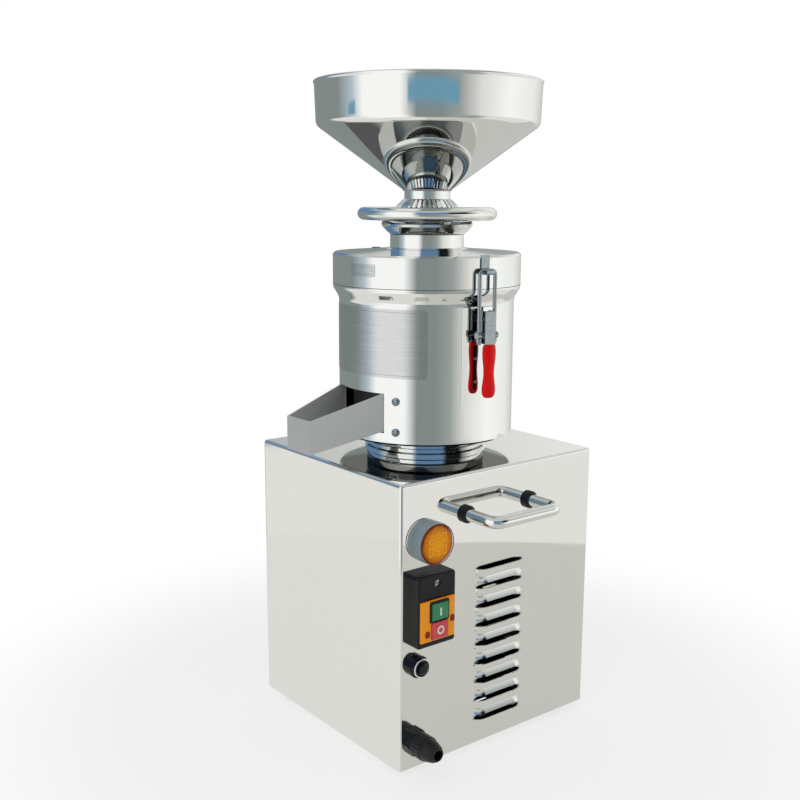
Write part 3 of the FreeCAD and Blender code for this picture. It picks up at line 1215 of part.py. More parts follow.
def make_latch_bases():
    bases = []
    for side, angle in latch_turns():
        skin = cut(f"{side}_pad_skin",
                   rod(f"{side}_pad_out", "chamber_radius + pad_sheet", "pad_top - pad_bottom",
                       z="pad_bottom"),
                   rod(f"{side}_pad_in", "chamber_radius + running_fit",
                       "pad_top - pad_bottom + 2", z="pad_bottom - 1"))
        zone = middle_box(f"{side}_pad_zone", 0, "-chamber_radius", "pad_bottom", "pad_width",
                          "chamber_radius / 2", "pad_top - pad_bottom")
        pad = shared(f"{side}_pad", skin, zone)
        ears = []
        foot = "(chamber_radius + pad_sheet / 2)"
        tip = "(pivot_out + pivot_radius)"
        for index, x in enumerate(("ear_inner", "-ear_inner - ear_thickness")):
            ears.append(extruded(f"{side}_ear_{index}", "YZ_Plane", [
                (f"-{foot}", "pivot_height - ear_foot_low"),
                (f"-{foot}", "pivot_height + ear_foot_high"),
                (f"-{tip} + 2.4", "pivot_height + 2.4"), (f"-{tip}", "pivot_height + 1"),
                (f"-{tip}", "pivot_height - 1"), (f"-{tip} + 2.4", "pivot_height - 2.4")],
                x, "ear_thickness"))
        pin = rod(f"{side}_pivot_pin", "pivot_radius - 0.6",
                  "2 * (cheek_inner + cheek_thickness) + 1",
                  "-cheek_inner - cheek_thickness - 0.5", "-pivot_out", "pivot_height", "right")
        bases.append(turned_round(joined(f"{side}_base", [pad, *ears, pin]), angle))
    named(group("bases", bases), "latch_bases")


def make_latch_hooks():
    """The J hooks on the cover, which the loops pull down."""
    hooks = []
    bar_z = "(pivot_height - trunnion_drop + loop_length)"
    bar_out = "(pivot_out - trunnion_in)"
    skin = "(flare_radius + running_fit)"
    seat = f"({bar_z} - loop_radius - face_gap)"
    lip = f"({bar_out} + loop_radius + hook_room)"
    for side, angle in latch_turns():
        hook = extruded(f"{side}_hook", "YZ_Plane", [
            (f"-{skin}", f"{cover_top} + 1"), (f"-{skin} - hook_sheet", f"{cover_top} + 1"),
            (f"-{skin} - hook_sheet", f"{seat} + 1.2"), (f"-{skin} - hook_sheet - 1.2", seat),
            (f"-{lip} + 1.2", seat), (f"-{lip}", f"{seat} + 1.2"),
            (f"-{lip}", f"{bar_z} + 0.4"), (f"-{lip} - hook_sheet", f"{bar_z} + 0.4"),
            (f"-{lip} - hook_sheet", f"{seat} - 0.2"), (f"-{lip} + 0.4", f"{seat} - hook_sheet"),
            (f"-{skin} - 1", f"{seat} - hook_sheet"), (f"-{skin}", f"{seat} - 0.6")],
            "-hook_half", "2 * hook_half")
        hooks.append(turned_round(hook, angle))
    named(group("hooks", hooks), "latch_hooks")


def make_latch_lever(side, angle):
    """The folded lever: two cheeks on the pivot, an outer web and a tang for the grip."""
    outer = "(cheek_inner + cheek_thickness)"
    web = "(pivot_out + pivot_radius + 0.8)"
    top = "(pivot_height + lever_rise)"
    cheek = [("-pivot_out + 5", f"{top} - 1"), ("-pivot_out + 3", top),
             (f"-{web} - 1", top), (f"-{web} - 2", f"{top} - 1"),
             (f"-{web} - 2", "lever_bottom"), ("-pivot_out + 6", "lever_bottom"),
             ("-pivot_out + 6", "pivot_height - 14")]
    block = extruded(f"{side}_lever_block", "YZ_Plane", cheek, f"-{outer}", f"2 * {outer}")
    channel = middle_box(f"{side}_lever_channel", 0, f"-{web} / 2", "lever_bottom - 1",
                         "2 * cheek_inner", web, "pivot_height - lever_bottom + 10")
    pivot = rod(f"{side}_lever_bore", "pivot_radius - 0.6 + running_fit", 40, -20, "-pivot_out",
                "pivot_height", "right")
    seat = rod(f"{side}_trunnion_bore", "trunnion_radius + running_fit", 40, -20,
               "-pivot_out + trunnion_in", "pivot_height - trunnion_drop", "right")
    tang = box(f"{side}_tang", "-tang_half", f"-{web} - 2", "grip_bottom + tang_inset",
               "2 * tang_half", "tang_thickness", "lever_bottom - grip_bottom - tang_inset + 2")
    lever = cut(f"{side}_lever_form", block, channel, pivot, seat)
    named(turned_round(joined(f"{side}_lever_whole", [lever, tang]), angle),
          f"{side}_latch_lever")


def make_latch_grip(side, angle):
    """The dipped grip: oval, waisted in the middle and rounded at its end."""
    web = "(pivot_out + pivot_radius + 0.8)"
    centre = f"(-{web} - 0.75)"
    span = "(grip_top - grip_bottom)"
    sections = []
    for index, (share, size) in enumerate(((0, 0.86), (0.2, 1), (0.5, "grip_waist"), (0.8, 1),
                                           (0.96, 0.86), (1, 0.5))):
        oval = doc.addObject("Part::Ellipse", f"{side}_oval_{index}")
        bind(oval, MajorRadius=f"grip_half * {size}", MinorRadius=f"grip_thickness / 2 * {size}")
        sections.append(place(oval, 0, centre, f"grip_top - {span} * {share}"))
    loft = doc.addObject("Part::Loft", f"{side}_grip_loft")
    loft.Sections = sections
    loft.Solid = True
    room = box(f"{side}_grip_room", "-tang_half - running_fit", f"-{web} - 2 - running_fit",
               "grip_bottom + tang_inset", "2 * (tang_half + running_fit)",
               "tang_thickness + 2 * running_fit", f"{span} + 10")
    named(turned_round(cut(f"{side}_grip_form", loft, room), angle), f"{side}_latch_grip")


def make_latch_loop(side, angle):
    """The U-bolt loop with its trunnion bar and the two nuts below it."""
    y = "(-pivot_out + trunnion_in)"
    low = "(pivot_height - trunnion_drop)"
    top = f"({low} + loop_length)"
    pieces = [rod(f"{side}_trunnion", "trunnion_radius", "2 * trunnion_half",
                  "-trunnion_half", y, low, "right"),
              rod(f"{side}_loop_bar", "loop_radius", "2 * (loop_half - loop_bend)",
                  "-loop_half + loop_bend", y, top, "right")]
    for end in (-1, 1):
        x = f"{end} * loop_half"
        pieces.append(rod(f"{side}_loop_leg_{end + 1}", "loop_radius",
                          "loop_length - loop_bend + 9", x, y, f"{low} - 9"))
        pieces.append(rod(f"{side}_loop_nut_{end + 1}", "loop_nut_radius", 4, x, y,
                          f"{low} - trunnion_radius - 3"))
        turn = turns["out"] if end > 0 else turns["out"].multiply(about_axis(90))
        pieces.append(elbow(f"{side}_loop_bend_{end + 1}", "loop_bend", "loop_radius", 90,
                            f"{x} - {end} * loop_bend", y, f"{top} - loop_bend", turn))
    named(turned_round(joined(f"{side}_loop_form", pieces), angle), f"{side}_latch_loop")


# ---------------------------------------------------------------- build
make_cabinet()
make_base()
make_feet()
make_handle("front_handle", -1)
make_handle("rear_handle", 1)
make_handle_fixings()
make_meter()
make_switch()
make_bezel()
make_push_buttons()
make_breaker()
make_gland()
make_panel_nuts()
make_motor_shell()
make_motor_core()
make_shaft_and_fan()
make_capacitor()
make_pedestal()
make_chamber()
make_chute()
make_chute_screws()
make_cover()
make_discs()
make_table()
make_carriage()
make_handwheel()
make_lock_ring()
make_hopper()
make_latch_bases()
make_latch_hooks()
for latch_side, latch_angle in latch_turns():
    make_latch_lever(latch_side, latch_angle)
    make_latch_grip(latch_side, latch_angle)
    make_latch_loop(latch_side, latch_angle)

doc.recompute()
faults = [item.Name for item in doc.Objects if {"Invalid", "Error"} & set(item.State)]
for part in parts:
    if part.Shape.isNull() or not part.Shape.isValid() or not part.Shape.Solids:
        faults.append(part.Label)
if faults:
    raise RuntimeError("failed: " + ", ".join(faults))

os.makedirs("parts", exist_ok=True)
for part in parts:
    part.Shape.exportStep(f"parts/{part.Label}.step")
    print(f"{part.Label}: {len(part.Shape.Solids)} solid(s), {part.Shape.Volume / 1000:.2f} cm3")
print(len(parts), "sub-parts")
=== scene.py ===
import bpy
import bmesh
import math
from mathutils import Matrix, Vector
from mathutils.bvhtree import BVHTree


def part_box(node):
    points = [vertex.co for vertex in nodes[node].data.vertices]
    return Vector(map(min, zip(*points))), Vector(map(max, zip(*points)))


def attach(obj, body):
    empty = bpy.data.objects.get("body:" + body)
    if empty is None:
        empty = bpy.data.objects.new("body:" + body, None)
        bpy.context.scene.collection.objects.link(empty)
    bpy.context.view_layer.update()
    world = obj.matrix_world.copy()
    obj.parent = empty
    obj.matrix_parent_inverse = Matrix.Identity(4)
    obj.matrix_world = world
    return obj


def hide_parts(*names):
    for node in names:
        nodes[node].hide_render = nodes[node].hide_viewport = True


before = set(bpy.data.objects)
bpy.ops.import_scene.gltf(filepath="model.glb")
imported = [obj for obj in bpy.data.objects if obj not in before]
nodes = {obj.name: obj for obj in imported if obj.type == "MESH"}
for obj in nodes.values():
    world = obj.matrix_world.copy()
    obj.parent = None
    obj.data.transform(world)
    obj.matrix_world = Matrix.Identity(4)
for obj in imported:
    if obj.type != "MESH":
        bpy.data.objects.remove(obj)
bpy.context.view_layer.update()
scene = bpy.context.scene
mm = 0.001
print("frame loaded:", len(nodes), "CAD nodes")


def linear(hexColour):
    channels = []
    for start in (1, 3, 5):
        value = int(hexColour[start:start + 2], 16) / 255
        channels.append(value / 12.92 if value <= 0.04045 else ((value + 0.055) / 1.055) ** 2.4)
    return (*channels, 1.0)


def addNode(tree, kind, inputs=None, **settings):  # adds one shader node, sets it up and links it
    node = tree.nodes.new(kind)
    for name, value in settings.items():
        setattr(node, name, value)
    for socket, source in (inputs or {}).items():
        if isinstance(source, bpy.types.NodeSocket):
            tree.links.new(source, node.inputs[socket])
        else:
            node.inputs[socket].default_value = source
    return node


def setStops(rampNode, stops):  # stops: place from 0 to 1, and an sRGB hex colour
    elements = rampNode.color_ramp.elements
    while len(elements) > 1:
        elements.remove(elements[-1])
    elements[0].position = stops[0][0]
    elements[0].color = linear(stops[0][1])
    for place, colour in stops[1:]:
        elements.new(place).color = linear(colour)


cameraPlace = {"position": (-0.7321, -0.8830, 0.5649), "yaw": 38.291, "pitch": 10.708,
               "roll": 0.2835, "lens": 48.54}


def makeCamera():
    data = bpy.data.cameras.new("studioCamera")
    camera = bpy.data.objects.new("studioCamera", data)
    scene.collection.objects.link(camera)
    data.sensor_width = 36
    data.lens = cameraPlace["lens"]
    data.clip_start = 0.01
    yaw = math.radians(cameraPlace["yaw"])
    pitch = math.radians(cameraPlace["pitch"])
    forward = Vector((math.sin(yaw) * math.cos(pitch), math.cos(yaw) * math.cos(pitch), -math.sin(pitch)))
    aim = forward.to_track_quat("-Z", "Y").to_matrix()
    tilt = Matrix.Rotation(math.radians(cameraPlace["roll"]), 3, "Z")
    camera.rotation_euler = (aim @ tilt).to_euler()
    camera.location = cameraPlace["position"]
    scene.camera = camera


makeCamera()
print("camera placed")


# the studio: what polished steel sees all round, a soft even light, and a pale floor
surfaces = {"softbox": "#FFFFFF", "paleWall": "#F0F1EF", "wall": "#E4E2DF", "shadedWall": "#C4C5C2",
            "greyScreen": "#9CA2A1", "darkScreen": "#858E8D", "mistScreen": "#B4C4CE",
            "blueScreen": "#6486AA", "blueCard": "#6C9CB6", "flag": "#16191C",
            # floor is a painted shade of the paper, seen only in reflections
            "paleFloor": "#E3E3DF", "floor": "#C6C5C0", "paper": "#EDEDEB"}
studio = {
    "floorRadius": 0.765, "floorFade": (0.30, 0.62), "diffuseLevel": 0.62,
    "shadowShare": 0.30,  # how much of the lit paper the camera sees near the part, the rest is plain white
    "paperShare": 0.15,  # how much of the lit paper is in the floor's reflection
    # the lamps: name, place, side length and power
    "lamps": [("keyLamp", (-1.6, -0.9, 1.9), 1.4, 9.0), ("fillLamp", (1.4, -1.5, 1.4), 1.6, 4.0)],
    "lampAim": (0, 0, 0.3),
    # from one reflection to the next the room gets darker, down to the share that is left after four
    "bounceFrom": 1.6, "bounceTo": 3.6, "lastBounce": 0.06,
    # height of the ray at which one level turns into the next
    "lowToLevel": (-0.229, -0.221), "levelToHigh": (0.11, 0.17), "highToTop": (0.45, 0.75),
    # heading in degrees from +X towards +Y, and the surface that stands there, at three levels
    "low": [(0, "shadedWall"), (40, "shadedWall"), (54, "darkScreen"), (106, "darkScreen"), (117, "wall"),
            (150, "wall"), (172, "softbox"), (204, "softbox"), (219, "darkScreen"), (243, "darkScreen"),
            (262, "greyScreen"), (284, "greyScreen"), (297, "wall"), (345, "wall")],
    "level": [(0, "paleWall"), (35, "shadedWall"), (52, "darkScreen"), (130, "darkScreen"),
              (150, "mistScreen"), (163, "softbox"), (203, "softbox"), (219, "darkScreen"),
              (242, "darkScreen"), (262, "greyScreen"), (284, "wall"), (300, "paleWall"),
              (318, "softbox"), (360, "paleWall")],
    "high": [(0, "wall"), (38, "paleWall"), (56, "shadedWall"), (66, "blueScreen"), (130, "blueScreen"),
             (150, "mistScreen"), (163, "softbox"), (204, "softbox"), (214, "blueScreen"),
             (264, "blueScreen"), (272, "flag"), (300, "flag"), (310, "greyScreen"), (330, "paleWall"),
             (360, "wall")],
    "top": "shadedWall",
    # blue cards at eye level: heading from and to, height of the ray from and to, surface
    "cards": [(209, 262, 0.003, 0.028, "blueCard"), (143, 155, 0.003, 0.026, "blueCard")],
    "cardEdge": 0.003, "cardSide": 3.0,
    # what the steel sees of the floor, by the same headings: painted shade, darker in front and on the right,
    # black behind the machine
    "floorPaintedShade": [(0, "floor"), (34, "floor"), (48, "flag"), (104, "flag"), (114, "paleFloor"),
                   (222, "paleFloor"), (231, "floor"), (360, "floor")],
}


def headingShare(tree, axes):  # the heading round the Z axis, as a share of a full turn
    heading = addNode(tree, "ShaderNodeMath", {0: axes.outputs["Y"], 1: axes.outputs["X"]},
                      operation="ARCTAN2")
    turn = addNode(tree, "ShaderNodeMath", {0: heading.outputs[0], 1: 1 / math.tau, 2: 1.0},
                   operation="MULTIPLY_ADD")
    return addNode(tree, "ShaderNodeMath", {0: turn.outputs[0]}, operation="FRACT")


def headingColours(tree, share, stops):  # a ramp of named surfaces round the Z axis
    ramp = addNode(tree, "ShaderNodeValToRGB", {0: share.outputs[0]})
    setStops(ramp, [(angle / 360, surfaces[name]) for angle, name in stops])
    return ramp.outputs["Color"]


def makeWorld():
    world = bpy.data.worlds.new("studioRoom")
    scene.world = world
    world.use_nodes = True
    tree = world.node_tree
    tree.nodes.clear()
    coords = addNode(tree, "ShaderNodeTexCoord")
    axes = addNode(tree, "ShaderNodeSeparateXYZ", {0: coords.outputs["Generated"]})
    share = headingShare(tree, axes)
    seen, level, high = [headingColours(tree, share, studio[ring]) for ring in ("low", "level", "high")]
    layers = [(level, "lowToLevel"), (high, "levelToHigh"), (linear(surfaces[studio["top"]]), "highToTop")]
    for colour, edge in layers:
        start, end = studio[edge]
        rise = addNode(tree, "ShaderNodeMapRange",
                       {"Value": axes.outputs["Z"], "From Min": start, "From Max": end},
                       interpolation_type="SMOOTHSTEP")
        mix = addNode(tree, "ShaderNodeMix", {"Factor": rise.outputs[0], 6: seen, 7: colour},
                      data_type="RGBA")
        seen = mix.outputs[2]
    for card in studio["cards"]:
        seen = addCard(tree, seen, share.outputs[0], axes.outputs["Z"], *card)
    room = addNode(tree, "ShaderNodeBackground", {"Color": seen})
    path = addNode(tree, "ShaderNodeLightPath")
    bounce = addNode(tree, "ShaderNodeMapRange",
                     {"Value": path.outputs["Glossy Depth"], "From Min": studio["bounceFrom"],
                      "From Max": studio["bounceTo"], "To Min": 1.0, "To Max": studio["lastBounce"]},
                     interpolation_type="SMOOTHSTEP")
    tree.links.new(bounce.outputs[0], room.inputs["Strength"])
    even = addNode(tree, "ShaderNodeBackground",
                   {"Color": linear(surfaces["softbox"]), "Strength": studio["diffuseLevel"]})
    white = addNode(tree, "ShaderNodeBackground", {"Color": linear(surfaces["softbox"]), "Strength": 1.0})
    mirrored = addNode(tree, "ShaderNodeMath", {0: path.outputs["Is Glossy Ray"],
                                                1: path.outputs["Is Transmission Ray"]}, operation="MAXIMUM")
    lit = addNode(tree, "ShaderNodeMixShader", {0: mirrored.outputs[0], 1: even.outputs[0],
                                                2: room.outputs[0]})
    final = addNode(tree, "ShaderNodeMixShader", {0: path.outputs["Is Camera Ray"], 1: lit.outputs[0],
                                                  2: white.outputs[0]})
    addNode(tree, "ShaderNodeOutputWorld", {0: final.outputs[0]})


def addCard(tree, seen, share, height, start, end, low, high, surface):  # a soft-edged card in the room
    turnEdge = studio["cardSide"] / 360
    edges = [(share, start / 360, start / 360 + turnEdge), (share, end / 360, end / 360 - turnEdge),
             (height, low, low + studio["cardEdge"]), (height, high, high - studio["cardEdge"])]
    shown = None
    for value, outer, inner in edges:
        edge = addNode(tree, "ShaderNodeMapRange", {"Value": value, "From Min": outer, "From Max": inner},
                       interpolation_type="SMOOTHSTEP")
        if shown:
            edge = addNode(tree, "ShaderNodeMath", {0: shown, 1: edge.outputs[0]}, operation="MULTIPLY")
        shown = edge.outputs[0]
    mix = addNode(tree, "ShaderNodeMix", {"Factor": shown, 6: seen, 7: linear(surfaces[surface])},
                  data_type="RGBA")
    return mix.outputs[2]


def makeFloor():
    mesh = bpy.data.meshes.new("studioFloor")
    shape = bmesh.new()
    bmesh.ops.create_circle(shape, cap_ends=True, segments=128, radius=studio["floorRadius"])
    shape.to_mesh(mesh)
    shape.free()
    floor = bpy.data.objects.new("studioFloor", mesh)
    scene.collection.objects.link(floor)
    material = bpy.data.materials.new("whitePaperSweep")  # matt paper: keeps a soft shadow, never shines
    material.use_nodes = True
    tree = material.node_tree
    tree.nodes.clear()
    coords = addNode(tree, "ShaderNodeTexCoord")
    axes = addNode(tree, "ShaderNodeSeparateXYZ", {0: coords.outputs["Object"]})
    share = headingShare(tree, axes)
    tone = headingColours(tree, share, studio["floorPaintedShade"])
    paper = addNode(tree, "ShaderNodeBsdfDiffuse", {"Color": linear(surfaces["paper"])})
    bright = addNode(tree, "ShaderNodeEmission", {"Color": linear(surfaces["softbox"]), "Strength": 1.0})
    radius = addNode(tree, "ShaderNodeVectorMath", {0: coords.outputs["Object"]}, operation="LENGTH")
    fade = addNode(tree, "ShaderNodeMapRange",
                   {"Value": radius.outputs["Value"], "From Min": studio["floorFade"][0],
                    "From Max": studio["floorFade"][1], "To Min": studio["shadowShare"], "To Max": 0.0},
                   interpolation_type="SMOOTHSTEP")  # towards its edge the floor turns as white as the room
    shown = addNode(tree, "ShaderNodeMixShader", {0: fade.outputs[0], 1: bright.outputs[0],
                                                  2: paper.outputs[0]})
    # in reflections the floor shows painted shade by heading, with a little of the lit paper mixed in
    paintedShadeTone = addNode(tree, "ShaderNodeEmission", {"Color": tone, "Strength": 1.0})
    mirrored = addNode(tree, "ShaderNodeMixShader", {0: studio["paperShare"], 1: paintedShadeTone.outputs[0],
                                                     2: paper.outputs[0]})
    path = addNode(tree, "ShaderNodeLightPath")
    reflect = addNode(tree, "ShaderNodeMixShader", {0: path.outputs["Is Glossy Ray"], 1: paper.outputs[0],
                                                    2: mirrored.outputs[0]})
    final = addNode(tree, "ShaderNodeMixShader", {0: path.outputs["Is Camera Ray"], 1: reflect.outputs[0],
                                                  2: shown.outputs[0]})
    addNode(tree, "ShaderNodeOutputMaterial", {0: final.outputs[0]})
    mesh.materials.append(material)


def makeLamps():
    for name, spot, size, power in studio["lamps"]:
        data = bpy.data.lights.new(name, "AREA")
        data.size = size
        data.energy = power
        lamp = bpy.data.objects.new(name, data)
        scene.collection.objects.link(lamp)
        lamp.location = spot
        aim = Vector(studio["lampAim"]) - Vector(spot)
        lamp.rotation_euler = aim.to_track_quat("-Z", "Y").to_euler()
        lamp.visible_glossy = False


makeWorld()
makeFloor()
makeLamps()
print("studio made")


# mesh tools: all shapes are drawn in millimetres and stored in metres

def roundCorners(points, steps=6):  # points: across, up, and the radius that rounds that corner
    outline = []
    for index, (across, up, bend) in enumerate(points):
        corner = Vector((across, up))
        if bend == 0 or index in (0, len(points) - 1):
            outline.append(corner)
            continue
        before = Vector(points[index - 1][:2]) - corner
        after = Vector(points[index + 1][:2]) - corner
        half = before.angle(after) / 2
        reach = min(bend / math.tan(half), before.length * 0.49, after.length * 0.49)
        radius = reach * math.tan(half)
        middle = (before.normalized() + after.normalized()).normalized()
        centre = corner + middle * radius / math.sin(half)
        first = corner + before.normalized() * reach - centre
        last = corner + after.normalized() * reach - centre
        sweep = math.atan2(first.x * last.y - first.y * last.x, first.dot(last))
        for step in range(steps + 1):
            outline.append(centre + Matrix.Rotation(sweep * step / steps, 2) @ first)
    return outline


def arcPoints(centre, radius, start, end, steps=10):
    angles = [math.radians(start + (end - start) * step / steps) for step in range(steps + 1)]
    return [Vector((centre[0] + radius * math.cos(a), centre[1] + radius * math.sin(a))) for a in angles]


def meshFrom(name, shape, place=None, sharpAngle=35):
    bmesh.ops.remove_doubles(shape, verts=shape.verts, dist=1e-7)
    bmesh.ops.recalc_face_normals(shape, faces=shape.faces)
    if place:
        bmesh.ops.transform(shape, matrix=place, verts=shape.verts)
    mesh = bpy.data.meshes.new(name)
    shape.to_mesh(mesh)
    shape.free()
    mesh.polygons.foreach_set("use_smooth", [True] * len(mesh.polygons))
    mesh.set_sharp_from_angle(angle=math.radians(sharpAngle))
    return mesh


def onRound(radius, angle, up):  # a point at a radius, heading and height in millimetres, given in metres
    return Vector((radius * math.cos(angle), radius * math.sin(angle), up)) * mm


def turnOutline(shape, outline, segments=160, swell=None):  # spins an outline of radius and height about Z
    rings = []
    for across, up in outline:
        ring = []
        for index in range(segments):
            angle = math.tau * index / segments
            radius = across + (swell(angle, up) if swell else 0)
            ring.append(shape.verts.new(onRound(radius, angle, up)))
        rings.append(ring)
    for lower, upper in zip(rings, rings[1:]):
        for index in range(segments):
            following = (index + 1) % segments
            shape.faces.new((lower[index], lower[following], upper[following], upper[index]))


def extrudeOutline(shape, corners, low, high, bevel=0.0):  # a flat outline in X and Y, raised along Z
    base = [shape.verts.new((x * mm, y * mm, low * mm)) for x, y in corners]
    face = shape.faces.new(base)
    raised = bmesh.ops.extrude_face_region(shape, geom=[face])
    top = [item for item in raised["geom"] if isinstance(item, bmesh.types.BMVert)]
    bmesh.ops.translate(shape, verts=top, vec=(0, 0, (high - low) * mm))
    if bevel:
        rim = [edge for edge in shape.edges if all(vert in top for vert in edge.verts)]
        bmesh.ops.bevel(shape, geom=rim, offset=bevel * mm, segments=3, affect="EDGES", profile=0.5)


def joinShape(whole, part):
    mesh = bpy.data.meshes.new("part")
    part.to_mesh(mesh)
    part.free()
    whole.from_mesh(mesh)
    bpy.data.meshes.remove(mesh)


def roundedBox(width, height, corner, steps=5, centre=(0, 0)):
    outline = []
    for sideX, sideY, start in ((1, 1, 0), (-1, 1, 90), (-1, -1, 180), (1, -1, 270)):
        middle = (centre[0] + sideX * (width / 2 - corner), centre[1] + sideY * (height / 2 - corner))
        outline += arcPoints(middle, corner, start, start + 90, steps)
    return outline


def evenSteps(outline, spacing):  # points along a closed outline, no further apart than the spacing
    line = []
    for start, end in zip(outline, outline[1:] + outline[:1]):
        steps = max(1, int((end - start).length / spacing))
        line += [start.lerp(end, step / steps) for step in range(steps)]
    return line


def addPiece(name, data, body, material, slot, *replaced):
    piece = bpy.data.objects.new(name, data)
    scene.collection.objects.link(piece)
    data.materials.append(material)
    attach(piece, body)
    if replaced:
        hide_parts(*replaced)
    return piece


def wireThrough(name, points, thickness, closed=False):  # a round wire or bead along points in metres
    curve = bpy.data.curves.new(name, "CURVE")
    curve.dimensions = "3D"
    curve.bevel_depth = thickness / 2 * mm
    curve.bevel_resolution = 3
    spline = curve.splines.new("POLY")
    spline.points.add(len(points) - 1)
    for point, place in zip(spline.points, points):
        point.co = (*place, 1)
    spline.use_cyclic_u = closed
    return curve


def facingOut(x, z, y):  # local X and Y lie in the control panel, local Z comes out of it; metres
    return Matrix.Translation((x, y, z)) @ Matrix.Rotation(math.radians(90), 4, "X")


def middleOf(node):
    low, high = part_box(node)
    return (Vector(low) + Vector(high)) / 2


# materials

def startMaterial(name, colour, metallic, roughness):  # gives back the material, its tree, shader and places
    material = bpy.data.materials.new(name)
    material.use_nodes = True
    tree = material.node_tree
    tree.nodes.clear()
    shader = addNode(tree, "ShaderNodeBsdfPrincipled",
                     {"Base Color": linear(colour), "Metallic": metallic, "Roughness": roughness})
    addNode(tree, "ShaderNodeOutputMaterial", {"Surface": shader.outputs[0]})
    places = addNode(tree, "ShaderNodeTexCoord").outputs["Object"]
    return material, tree, shader, places


mirrorSheet = {"colour": "#F8F9F6", "clean": 0.025, "handled": 0.07, "cloudMm": 45, "waveMm": 110,
               "waveDepthMm": 0.02}


# stainless sheet, buffed to a mirror: crisp reflections that swim a little, and faint hand marks
def polishedStainlessSheet():
    material, tree, shader, places = startMaterial("polishedStainlessSheet", mirrorSheet["colour"], 1, 0.04)
    clouds = addNode(tree, "ShaderNodeTexNoise", {"Vector": places, "Scale": 1000 / mirrorSheet["cloudMm"],
                                                  "Detail": 5, "Roughness": 0.62})
    marks = addNode(tree, "ShaderNodeMapRange",
                    {"Value": clouds.outputs[0], "From Min": 0.42, "From Max": 0.72,
                     "To Min": mirrorSheet["clean"], "To Max": mirrorSheet["handled"]})
    tree.links.new(marks.outputs[0], shader.inputs["Roughness"])
    waves = addNode(tree, "ShaderNodeTexNoise", {"Vector": places, "Scale": 1000 / mirrorSheet["waveMm"],
                                                 "Detail": 0})
    bump = addNode(tree, "ShaderNodeBump", {"Strength": 1, "Distance": mirrorSheet["waveDepthMm"] * mm,
                                            "Height": waves.outputs[0]})
    tree.links.new(bump.outputs[0], shader.inputs["Normal"])
    return material


lathe = {"colour": "#F4F5F2", "low": 0.03, "high": 0.075, "ringMm": 1.6, "ringDepthMm": 0.0005, "cloudMm": 30}


def turnedStainless():  # stainless steel, turned and buffed: mirror bright, with faint rings round the axis
    material, tree, shader, places = startMaterial("turnedStainless", lathe["colour"], 1, 0.05)
    stretched = addNode(tree, "ShaderNodeMapping",
                        {"Vector": places, "Scale": (4, 4, 1000 / lathe["ringMm"])})
    rings = addNode(tree, "ShaderNodeTexNoise", {"Vector": stretched.outputs[0], "Scale": 1, "Detail": 2})
    # real tool marks lie 0.1 mm apart; drawn coarser, so that they show
    bump = addNode(tree, "ShaderNodeBump", {"Strength": 1, "Distance": lathe["ringDepthMm"] * mm,
                                            "Height": rings.outputs[0]})
    tree.links.new(bump.outputs[0], shader.inputs["Normal"])
    clouds = addNode(tree, "ShaderNodeTexNoise",
                     {"Vector": places, "Scale": 1000 / lathe["cloudMm"], "Detail": 4})
    marks = addNode(tree, "ShaderNodeMapRange",
                    {"Value": clouds.outputs[0], "From Min": 0.4, "From Max": 0.75,
                     "To Min": lathe["low"], "To Max": lathe["high"]})
    tree.links.new(marks.outputs[0], shader.inputs["Roughness"])
    return material


satin = {"colour": "#C4C6C6", "metallic": 0.3, "low": 0.38, "high": 0.5, "grainMm": 0.9, "grainDepthMm": 0.01}


def satinStainless():  # stainless sheet, blasted with fine beads: soft grey without clear reflections
    # metallic is matched down from 1, because the blasted skin scatters most of the light
    material, tree, shader, places = startMaterial("satinStainless", satin["colour"], satin["metallic"], 0.44)
    grain = addNode(tree, "ShaderNodeTexNoise",
                    {"Vector": places, "Scale": 1000 / satin["grainMm"], "Detail": 2})
    bump = addNode(tree, "ShaderNodeBump", {"Strength": 0.5, "Distance": satin["grainDepthMm"] * mm,
                                            "Height": grain.outputs[0]})
    tree.links.new(bump.outputs[0], shader.inputs["Normal"])
    clouds = addNode(tree, "ShaderNodeTexNoise", {"Vector": places, "Scale": 1000 / 22, "Detail": 3})
    worn = addNode(tree, "ShaderNodeMapRange", {"Value": clouds.outputs[0], "From Min": 0.35, "From Max": 0.7,
                                                "To Min": satin["low"], "To Max": satin["high"]})
    tree.links.new(worn.outputs[0], shader.inputs["Roughness"])
    return material


plated = {"colour": "#A4ADB1", "low": 0.08, "high": 0.18, "crystalMm": 2.4}


def brightZincPlate():  # pressed steel, bright zinc plated: a cool blue-grey gleam with a little bloom
    material, tree, shader, places = startMaterial("brightZincPlate", plated["colour"], 1, 0.15)
    bloom = addNode(tree, "ShaderNodeTexNoise",
                    {"Vector": places, "Scale": 1000 / plated["crystalMm"], "Detail": 3})
    tint = addNode(tree, "ShaderNodeValToRGB", {0: bloom.outputs[0]})
    setStops(tint, [(0.3, "#98A3A8"), (0.7, "#AFB6B9")])
    tree.links.new(tint.outputs[0], shader.inputs["Base Color"])
    sheen = addNode(tree, "ShaderNodeMapRange", {"Value": bloom.outputs[0], "From Min": 0.3, "From Max": 0.7,
                                                 "To Min": plated["low"], "To Max": plated["high"]})
    tree.links.new(sheen.outputs[0], shader.inputs["Roughness"])
    return material


def castAluminium():  # die-cast aluminium, left raw: pale grey, granular and soft
    material, tree, shader, places = startMaterial("castAluminium", "#B4B7B8", 1, 0.45)
    grain = addNode(tree, "ShaderNodeTexNoise", {"Vector": places, "Scale": 1000 / 1.5, "Detail": 4})
    bump = addNode(tree, "ShaderNodeBump",
                   {"Strength": 0.6, "Distance": 0.03 * mm, "Height": grain.outputs[0]})
    tree.links.new(bump.outputs[0], shader.inputs["Normal"])
    return material


